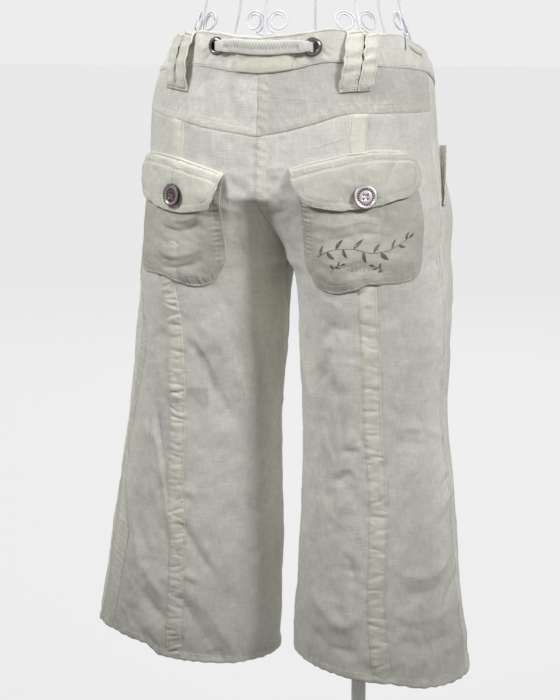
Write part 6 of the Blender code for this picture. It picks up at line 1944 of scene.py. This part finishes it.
for side, word in ((1, "left"), (-1, "right")):
    sb, zb = BUTTON_AT[side]
    up = float(flap_lift(side, np.array([sb]), np.array([zb]))[0])
    around = np.linspace(0, 2 * np.pi, 13)[:-1]
    near, _ = HALF[side].at(sb + 0.011 * np.cos(around), zb + 0.011 * np.sin(around), flap_lift(side, sb + 0.011 * np.cos(around), zb + 0.011 * np.sin(around)) + FLAP_WALL / 2)
    p, n = HALF[side].at(np.array([sb]), np.array([zb]), np.array([up + FLAP_WALL / 2]))
    p, n = p[0], n[0]
    # its own plane is the flap's plane there
    c = near.mean(0)
    u_, d_, vt = np.linalg.svd(near - c)
    n2 = vt[2] * np.sign(vt[2] @ n)
    reach = ((near - p) @ n2).max()
    button(f"flap_button_{word}", facing(p + n2 * (max(reach, 0.0) + 0.0003), n2), f"flap_button_{word}")

# ---------------------------------------------------------------- side pocket welts
welt_rows = []
for side, word in ((1, "left"), (-1, "right")):
    v = steps(0.066, 0.0014, 0.0004)[:, None]
    a = steps(WELT_WIDE, 0.0012, 0.0004)[None, :]
    wave = 0.0005 * SEAM_PUCKER[side](0.70 + 0.061 * v)

    def welt_at(a, v, extra=0.0, side=side):
        z = 0.7620 + (0.7010 - 0.7620) * v + 0 * a
        s = WELT_TOP + (WELT_FOOT - WELT_TOP) * v - WELT_WIDE * a
        lift = WALL + 0.0003 + (0.0018 + 0.0066 * (1 - v) ** 0.7) * (1 - a) ** 0.8 + 0.0003 * SEAM_PUCKER[side](0.70 + 0.061 * v)
        return HALF[side].at(s, z, lift + extra)

    P, N = welt_at(a + 0 * v, v + 0 * a)
    o = cloth(f"side_pocket_welt_{word}_cloth", P, N, WALL, np.stack([a * WELT_WIDE + 0 * v, v * 0.066 + 0 * a], -1), main_linen, f"side_pocket_welt_{word}", 0.4)
    declare(P)
    vv = np.linspace(0.03, 0.97, 60)
    for aa in (0.22, 0.62):
        P, N = welt_at(aa + 0 * vv, vv, WALL / 2)
        welt_rows.append(run_along(P, N, PITCH, LONG))

# ---------------------------------------------------------------- fly and waist button
FLY_WIDE, FLY_FOOT = 0.036, 0.7160
v = steps(0.0785, 0.0018, 0.0004)[:, None]
a = steps(FLY_WIDE, 0.0018, 0.0004)[None, :]


def fly_at(a, v, extra=0.0):
    z = 0.7945 + (FLY_FOOT - 0.7945) * v + 0 * a
    f = HALF[1].length(z)[1]
    wide = FLY_WIDE * (1 - 0.75 * np.clip((v - 0.70) / 0.30, 0, 1) ** 2)
    s = -(f - 0.0012) + wide * a
    lift = WALL / 2 + 0.0014 + 0.0003 * np.sin(v * 18 + a * 2) - 0.00025 * np.exp(-(((a - 0.86) / 0.03) ** 2))
    return HALF[1].at(s, z, lift + extra)


P, N = fly_at(a + 0 * v, v + 0 * a)
o = cloth("fly_placket_cloth", P, N, WALL, np.stack([a * FLY_WIDE + 0 * v, v * 0.08 + 0 * a], -1), main_linen, "fly_placket", 0.2)
declare(P)
vv = np.linspace(0.0, 0.99, 80)
for aa in (0.86, 0.70):
    P, N = fly_at(aa + 0 * vv, vv, WALL / 2)
    welt_rows.append(run_along(P, N, PITCH, LONG))
stitch_mesh("front_stitches", welt_rows)
zb = 0.8185
p, n = round_at(float(sum(HALF[1].length(zb))) + 0.0120, zb, 0.0034 + BAND_LIFT + BAND_WALL / 2 + 0.0008)
button("waist_button", facing(p, n), "waist_button")

# ---------------------------------------------------------------- the rest of the stitching
rows = []
for side in (1, -1):
    # yoke seam
    qmax = float(HALF[side].length(0.80)[0])
    u = np.linspace(0.0, 0.995, 500)
    q = columns(side, True, u)
    foot = edge(YOKE_FOOT, side, q)
    for d in (0.0022, 0.0098):
        z = foot + d
        s = across_panel(side, True, z, u) + GAP / 2 * (1 - u)
        lift = yoke_lift(side, q, s, z, edge(BAND_FOOT, side, q), foot)
        P, N = HALF[side].at(s, z, lift + WALL / 2)
        rows.append(run_along(P, N, PITCH, LONG))
    # hems
    for back in (True, False):
        u = np.linspace(0.01, 0.99, 400)
        foot = hem_at(side, back, u)
        z = foot + 0.0078
        s = across_panel(side, back, z, u)
        thick, lift, _ = leg_seam(side, back, s, z, foot)
        P, N = HALF[side].at(s, z, lift + thick / 2)
        rows.append(run_along(P, N, PITCH, LONG))
    # outseam, on the back panel
    z = np.linspace(0.79, 0.225, 900)
    k = seam_line(side, z)
    for d in (0.0018, 0.0066) if side < 0 else (0.0018, 0.0066, table(FELL_IN, z)[:, 0] - 0.0022):
        P, N = HALF[side].at(k + d, z, WALL / 2 + np.where(np.asarray(d) < 0.005, 0.00035, 0.00022) + 0 * z)
        rows.append(run_along(P, N, PITCH, LONG))
# centre back
for d in (0.0020, 0.0102):
    z = np.linspace(0.836, 0.672, 300)
    b, f = HALF[-1].length(z)
    s = b - d
    P, N = HALF[-1].at(s, z, fell_lift(-1, s, z) + WALL / 2)
    rows.append(run_along(P, N, PITCH, LONG))
# a short row from the inner end of each flap toward the centre back
for side, line in ((1, ((0.152, 0.759), (0.183, 0.754), (0.210, 0.751))), (-1, ((0.161, 0.764), (0.144, 0.769), (0.129, 0.774)))):
    s, z = through(np.array(line), 30).T
    P, N = HALF[side].at(s, z, WALL / 2)
    rows.append(run_along(P, N, PITCH, LONG))
stitch_mesh("body_stitches", rows)

# waistband: along its top and its foot
rows = []
P, N, Q, Z = band_grid
n_rows = P.shape[0]
for share in (0.070, 0.935):
    t = share * 1.0
    i = np.interp(t, steps(0.040, 0.0016), np.arange(n_rows))
    i0 = int(i)
    w = i - i0
    line, nn = P[i0] * (1 - w) + P[i0 + 1] * w, N[i0]
    keep = slice(3, -4)
    rows.append(run_along((line + nn * (BAND_WALL / 2))[keep], nn[keep], PITCH, LONG))
stitch_mesh("waistband_stitches", rows + cream_rows)
hole_mesh("needle_holes")

# ---------------------------------------------------------------- a printed pattern on the right pocket: leaf sprigs of no particular plant
PRINT_AT = (0.1190, 0.6580)


def on_pocket(x, y, up=0.00016):
    """A point of the right pocket's face, x mm to the outer side and y mm up from the middle of the print."""
    s, z = PRINT_AT[0] - np.asarray(x) * 0.001, PRINT_AT[1] + np.asarray(y) * 0.001
    return HALF[-1].at(s, z, pocket_lift(-1, s, z) + POCKET_WALL / 2 + up)[0]


ink_v, ink_f = [], []


def ink(path, widths):
    """A flat band of ink along a path in mm, as wide as `widths` at its points."""
    path, w = np.array(path, float), np.array(widths, float)
    t = np.gradient(path, axis=0)
    t /= np.maximum(np.linalg.norm(t, axis=1, keepdims=True), 1e-9)
    nrm = np.stack([-t[:, 1], t[:, 0]], 1)
    a, b = path + nrm * w[:, None] / 2, path - nrm * w[:, None] / 2
    k = sum(len(v) for v in ink_v)
    n = len(path)
    ink_v.append(np.concatenate([on_pocket(a[:, 0], a[:, 1]), on_pocket(b[:, 0], b[:, 1])]))
    i = np.arange(n - 1)
    ink_f.append(np.stack([k + i, k + i + 1, k + n + i + 1, k + n + i], 1))


def stem(points, wide=0.75):
    line = through(points, 8)
    ink(line, np.interp(np.linspace(0, 1, len(line)), (0, 1), (wide, wide * 0.6)))
    return line


def leaf(x, y, degrees, long, wide, bend=0.0):
    t = np.linspace(0, 1, 12)
    a = math.radians(degrees)
    u, v = long * t, bend * long * t * (1 - t) * 2
    ink(np.stack([x + u * math.cos(a) - v * math.sin(a), y + u * math.sin(a) + v * math.cos(a)], 1), wide * np.sin(np.pi * t**0.8) ** 0.9 + 0.08)


branch = stem([(-46, -4), (-30, 3), (-10, 4), (10, 0), (30, 5), (46, 16)])
for k, (at, turn, long, wide) in enumerate((
    (0.06, 62, 10, 3.4), (0.14, -58, 11, 3.6), (0.23, 55, 12, 3.8), (0.32, -60, 10, 3.2), (0.42, 58, 13, 4.0), (0.50, -52, 12, 3.6),
    (0.60, 60, 11, 3.4), (0.69, -55, 12, 3.6), (0.78, 50, 10, 3.0), (0.87, -48, 9, 2.8), (0.95, 42, 8, 2.4), (1.0, 0, 9, 2.4),
)):
    i = min(int(at * (len(branch) - 1)), len(branch) - 2)
    d = branch[i + 1] - branch[i]
    leaf(*branch[i], math.degrees(math.atan2(d[1], d[0])) + turn, long, wide, 0.18 if turn > 0 else -0.18)
for x, y, a0 in ((-30, -18, 20), (22, -19, 150)):
    line = stem([(x, y), (x + 6 * math.cos(math.radians(a0)), y + 5), (x + 12 * math.cos(math.radians(a0)), y + 7)], 0.5)
    for i, turn in ((3, 70), (6, -60), (10, 60), (14, 0)):
        d = line[min(i + 1, len(line) - 1)] - line[min(i, len(line) - 2)]
        leaf(*line[min(i, len(line) - 1)], math.degrees(math.atan2(d[1], d[0])) + turn, 5.5, 2.0, 0.1)
for k in range(9):
    leaf(-14 + 4.2 * k, -17.5 - 1.2 * math.sin(k * 0.7), 90, 1.1, 1.1)
me = mesh_of("pocket_print", np.concatenate(ink_v), ink_f)
piece("pocket_print", me, ink_mat)

def on_band(s, z, up=0.00016):
    """Points of the waistband's face on the right half."""
    q = -q_of(-1, s, z)
    low, high = edge(BAND_FOOT, -1, q), edge(BAND_TOP, -1, q)
    return HALF[-1].at(s, z, BAND_LIFT + band_extra(q, z, low, high) + BAND_WALL / 2 + up)[0]


# a worn slit in the waistband on the right half, and the mended line beside it; their dark colour is painted shade in
# the opening and in the needle holes
for name, line, half in (("waistband_slit", SLIT[:-1] + ((0.0385, 0.8620),), 0.00075), ("waistband_mend", MEND, 0.00034)):
    path = through(np.array(line), 14)
    t = np.gradient(path, axis=0)
    t /= np.linalg.norm(t, axis=1, keepdims=True)
    w = half * (0.35 + 0.65 * np.sin(np.pi * np.linspace(0.05, 0.95, len(path)))) * (1 + 0.35 * np.sin(np.arange(len(path)) * 1.9))
    nrm = np.stack([-t[:, 1], t[:, 0]], 1) * w[:, None]
    ab = np.concatenate([path + nrm, path - nrm])
    V = on_band(ab[:, 0], ab[:, 1], 0.00075)
    i, n = np.arange(len(path) - 1), len(path)
    piece(name, mesh_of(name, V, [np.stack([i, i + 1, n + i + 1, n + i], 1)]), slit_shade_mat if half > 0.0005 else hole_mat)

# a small rust mark on the waistband, on the right half
BAND_MARK = (0.0118, 0.8568)
ang = np.linspace(0, 2 * np.pi, 14, endpoint=False)
rad = np.array([1.5, 1.3, 1.0, 1.1, 1.6, 1.9, 1.5, 1.1, 0.9, 1.2, 1.4, 1.2, 1.0, 1.3]) * 0.0014
q = BAND_MARK[0] + np.concatenate([[0], 0.8 * rad * np.cos(ang)])
z = BAND_MARK[1] + np.concatenate([[0], 1.2 * rad * np.sin(ang)])
V = on_band(q, z, 0.00075)
F = np.array([[0, k, k % 14 + 1] for k in range(1, 15)])
piece("waistband_mark", mesh_of("waistband_mark", V, [F]), rust_mat)


# ---------------------------------------------------------------- wires of the dress form
FORM_TOP = 1.4100
POLE_X = -0.0800
RIB_Z = (0.7260, 0.800, 0.840, 0.862, 0.885, 0.910, 0.940, 0.980, 1.040, 1.110, 1.180, 1.240, 1.285, 1.318, 1.342, 1.362, 1.382, 1.412)
IN = WIRE_R + HOOP_R + 0.0011


def form_at(degrees, z, inward=0.0):
    half, behind, front = table(FORM, z)
    a = math.radians(degrees)
    depth = behind if math.cos(a) > 0 else front
    return np.array([(half - inward) * math.sin(a), (depth - inward) * math.cos(a), z])


def tube(name, points, radius, node, closed=False, sides=12, mat=None):
    """A round wire along the points, with rounded ends."""
    p = np.asarray(points, float)
    n = len(p)
    if closed:
        t = np.roll(p, -1, 0) - np.roll(p, 1, 0)
    else:
        t = np.gradient(p, axis=0)
    t = t / np.linalg.norm(t, axis=1, keepdims=True)
    up = np.array([0, 0, 1.0]) if abs(t[0][2]) < 0.9 else np.array([0, 1.0, 0])
    frames = []
    x = np.cross(up, t[0])
    x /= np.linalg.norm(x)
    for k in range(n):
        x = x - t[k] * (x @ t[k])
        x /= np.linalg.norm(x)
        frames.append((x.copy(), np.cross(t[k], x)))
    a = np.linspace(0, 2 * np.pi, sides, endpoint=False)
    rings = [(p[k], frames[k], radius) for k in range(n)]
    if not closed:
        head = [(p[0] - t[0] * radius * 0.8, frames[0], radius * 0.45), (p[0] - t[0] * radius * 0.45, frames[0], radius * 0.85)]
        tail = [(p[-1] + t[-1] * radius * 0.45, frames[-1], radius * 0.85), (p[-1] + t[-1] * radius * 0.8, frames[-1], radius * 0.45)]
        rings = head + rings + tail
    V = np.concatenate([c + r * (np.cos(a)[:, None] * fx + np.sin(a)[:, None] * fy) for c, (fx, fy), r in rings])
    m = len(rings)
    i, j = np.meshgrid(np.arange(m if closed else m - 1), np.arange(sides), indexing="ij")
    i2, j2 = (i + 1) % m, (j + 1) % sides
    if closed:
        # line the last ring up with the first
        d = [np.linalg.norm(V[(m - 1) * sides:][0] - V[k]) for k in range(sides)]
        turn = int(np.argmin(d))
        jj = np.where(i == m - 1, (j + turn) % sides, j)
        jj2 = np.where(i == m - 1, (j2 + turn) % sides, j2)
        F = np.stack([i * sides + j, i * sides + j2, i2 * sides + jj2, i2 * sides + jj], -1).reshape(-1, 4)
        groups = [F]
    else:
        F = np.stack([i * sides + j, i * sides + j2, i2 * sides + j2, i2 * sides + j], -1).reshape(-1, 4)
        caps = np.array([[0, *range(sides - 1, 0, -1)], [(m - 1) * sides + k for k in range(sides)]])
        groups = [F, caps]
    return piece(name, mesh_of(name, V, groups), mat or wire_mat, node)


for k, deg in enumerate(RIB_AT):
    line = np.array([form_at(deg, z) for z in np.linspace(RIB_Z[0], RIB_Z[-1], 150)])
    tube(f"form_rib_{k + 1}_wire", line, WIRE_R, f"form_rib_{k + 1}")
for name, z in (("form_hoop_hip", FORM_LOW), ("form_hoop_highhip", FORM_HIGH), ("form_hoop_waist", FORM_WAIST), ("form_hoop_bust", 1.17), ("form_hoop_neck", 1.406)):
    tube(f"{name}_wire", [form_at(360 * i / 120, z, IN) for i in range(120)], HOOP_R, name, True)


def scroll_pair(name, deg):
    """Two scrolls in one wire, as in the CAD part, with more points."""
    size = SCROLL_SIZE
    flat = []
    for i in range(61):
        t = i / 60
        ang = math.radians(-75 + 590 * t)
        r = size * (1 - 0.50 * t)
        flat.append((size * 1.12 - r * math.cos(ang), size * (1.0 + 0.12 * t) + r * math.sin(ang)))
    lead = [(0.0, -0.0022), (flat[0][0] * 0.5, -0.0015 + 0.25 * (flat[0][1] + 0.0015))]
    path = [(-x, h) for x, h in reversed(flat)] + [(-lead[1][0], lead[1][1])] + lead + flat
    path = through(np.array(path)[::2], 2)
    pts = []
    for x, h in path:
        z = SCROLL_Z + h
        base = Vector(form_at(deg, z))
        a = math.radians(deg)
        half, behind, front = table(FORM, z)
        depth = behind if math.cos(a) > 0 else front
        tangent = Vector((half * math.cos(a), -depth * math.sin(a), 0)).normalized()
        outward = Vector((-tangent.y, tangent.x, 0))
        if outward.dot(Vector((math.sin(a), math.cos(a), 0))) < 0:
            outward = -outward
        pts.append(base + tangent * x - outward * (WIRE_R + SCROLL_R + 0.0006 + 0.9 * x * x / 0.12))
    tube(f"{name}_wire", [tuple(p) for p in pts], SCROLL_R, name)


for k, deg in enumerate(SCROLL_ON):
    scroll_pair(f"form_scroll_{k + 1}", deg)

for name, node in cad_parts.items():
    if name.startswith("form_bar"):
        node.data.materials.clear()
        node.data.materials.append(wire_mat)
        node.data.shade_smooth()
    if name in ("form_cap", "stand_pole", "stand_base"):
        node.data.materials.clear()
        node.data.materials.append(stand_mat)

# ---------------------------------------------------------------- room
def emitter(name, size, place, target, energy, colour=(1, 1, 1), spread=180):
    li = bpy.data.lights.new(name, "AREA")
    li.spread = math.radians(spread)
    li.shape, li.size = "DISK", size
    li.energy, li.color = energy, colour
    o = bpy.data.objects.new(name, li)
    bpy.context.scene.collection.objects.link(o)
    o.location = place
    o.rotation_euler = (Vector(target) - Vector(place)).to_track_quat("-Z", "Y").to_euler()
    return o


emitter("key", 0.8, (-2.42, 1.02, 2.50), (0, 0, 1.36), 14.3, (0.985, 0.992, 1.0), 75)
emitter("fill", 0.8, (1.50, 1.75, 2.65), (0, 0, 1.34), 12.6, (0.983, 0.993, 1.0), 77)
emitter("front", 2.0, (0.8, -3.0, 2.4), (0, 0, 0.6), 85, (1.0, 0.99, 0.98))

bpy.ops.mesh.primitive_plane_add(size=120, location=(0, 0, -0.0005))
floor = bpy.context.object
floor.name = "floor"
m, t, b = nodes_of("floor_pale")
out = t.nodes["Material Output"]
t.nodes.remove(b)
glow = add(t, "ShaderNodeEmission", Strength=1.0)
n = add(t, "ShaderNodeTexNoise", Scale=0.7, Detail=2.0)
tone = math_node(t, "ADD", math_node(t, "MULTIPLY", math_node(t, "SUBTRACT", n.outputs["Fac"], 0.5), 0.004), 0.796)
mul = add(t, "ShaderNodeVectorMath", operation="SCALE")
mul.inputs[0].default_value = (1, 1, 1)
t.links.new(tone, mul.inputs["Scale"])
t.links.new(mul.outputs[0], glow.inputs["Color"])
dif = add(t, "ShaderNodeBsdfDiffuse")
dif.inputs["Color"].default_value = (0.05, 0.05, 0.05, 1)
both = add(t, "ShaderNodeAddShader")
t.links.new(glow.outputs[0], both.inputs[0])
t.links.new(dif.outputs[0], both.inputs[1])
t.links.new(both.outputs[0], out.inputs["Surface"])
floor.data.materials.append(m)
floor.visible_diffuse = False
floor.visible_glossy = False

world = bpy.data.worlds.new("room")
bpy.context.scene.world = world
world.use_nodes = True
t = world.node_tree
bg = t.nodes["Background"]
bg.inputs["Color"].default_value = (1.0, 0.955, 0.875, 1)
co = t.nodes.new("ShaderNodeTexCoord")
sep = t.nodes.new("ShaderNodeSeparateXYZ")
t.links.new(co.outputs["Generated"], sep.inputs[0])
rise = t.nodes.new("ShaderNodeMapRange")
rise.inputs["From Min"].default_value = -0.3
rise.inputs["From Max"].default_value = 0.8
rise.inputs["To Min"].default_value = 0.15
rise.inputs["To Max"].default_value = 0.32
t.links.new(sep.outputs["Z"], rise.inputs["Value"])
t.links.new(rise.outputs["Result"], bg.inputs["Strength"])
shine = t.nodes.new("ShaderNodeBackground")
shine.inputs["Color"].default_value = (0.95, 0.94, 0.96, 1)
shine.inputs["Strength"].default_value = 0.70
seen = t.nodes.new("ShaderNodeBackground")
seen.inputs["Color"].default_value = (0.847, 0.847, 0.847, 1)
path = t.nodes.new("ShaderNodeLightPath")
mix = t.nodes.new("ShaderNodeMixShader")
gloss = t.nodes.new("ShaderNodeMixShader")
t.links.new(path.outputs["Is Glossy Ray"], gloss.inputs[0])
t.links.new(bg.outputs[0], gloss.inputs[1])
t.links.new(shine.outputs[0], gloss.inputs[2])
t.links.new(path.outputs["Is Camera Ray"], mix.inputs[0])
t.links.new(gloss.outputs[0], mix.inputs[1])
t.links.new(seen.outputs[0], mix.inputs[2])
t.links.new(mix.outputs[0], t.nodes["World Output"].inputs["Surface"])

cam = bpy.data.cameras.new("view")
cam.lens, cam.sensor_width, cam.sensor_fit = 93.9, 36.0, "AUTO"
cam.dof.use_dof = False
cam.clip_start, cam.clip_end = 0.05, 400
eye = bpy.data.objects.new("view", cam)
bpy.context.scene.collection.objects.link(eye)
azimuth, pitch = math.radians(202), math.radians(9.6)
back = Vector((math.sin(azimuth), -math.cos(azimuth), 0))
right = Vector((-back.y, back.x, 0))
eye.location = back * 2.0 + right * -0.0205 + Vector((0, 0, 0.872))
look = -back * math.cos(pitch) - Vector((0, 0, math.sin(pitch)))
eye.rotation_euler = look.to_track_quat("-Z", "Y").to_euler()
bpy.context.scene.camera = eye
bpy.context.scene.view_settings.view_transform = "Standard"

bpy.context.view_layer.update()
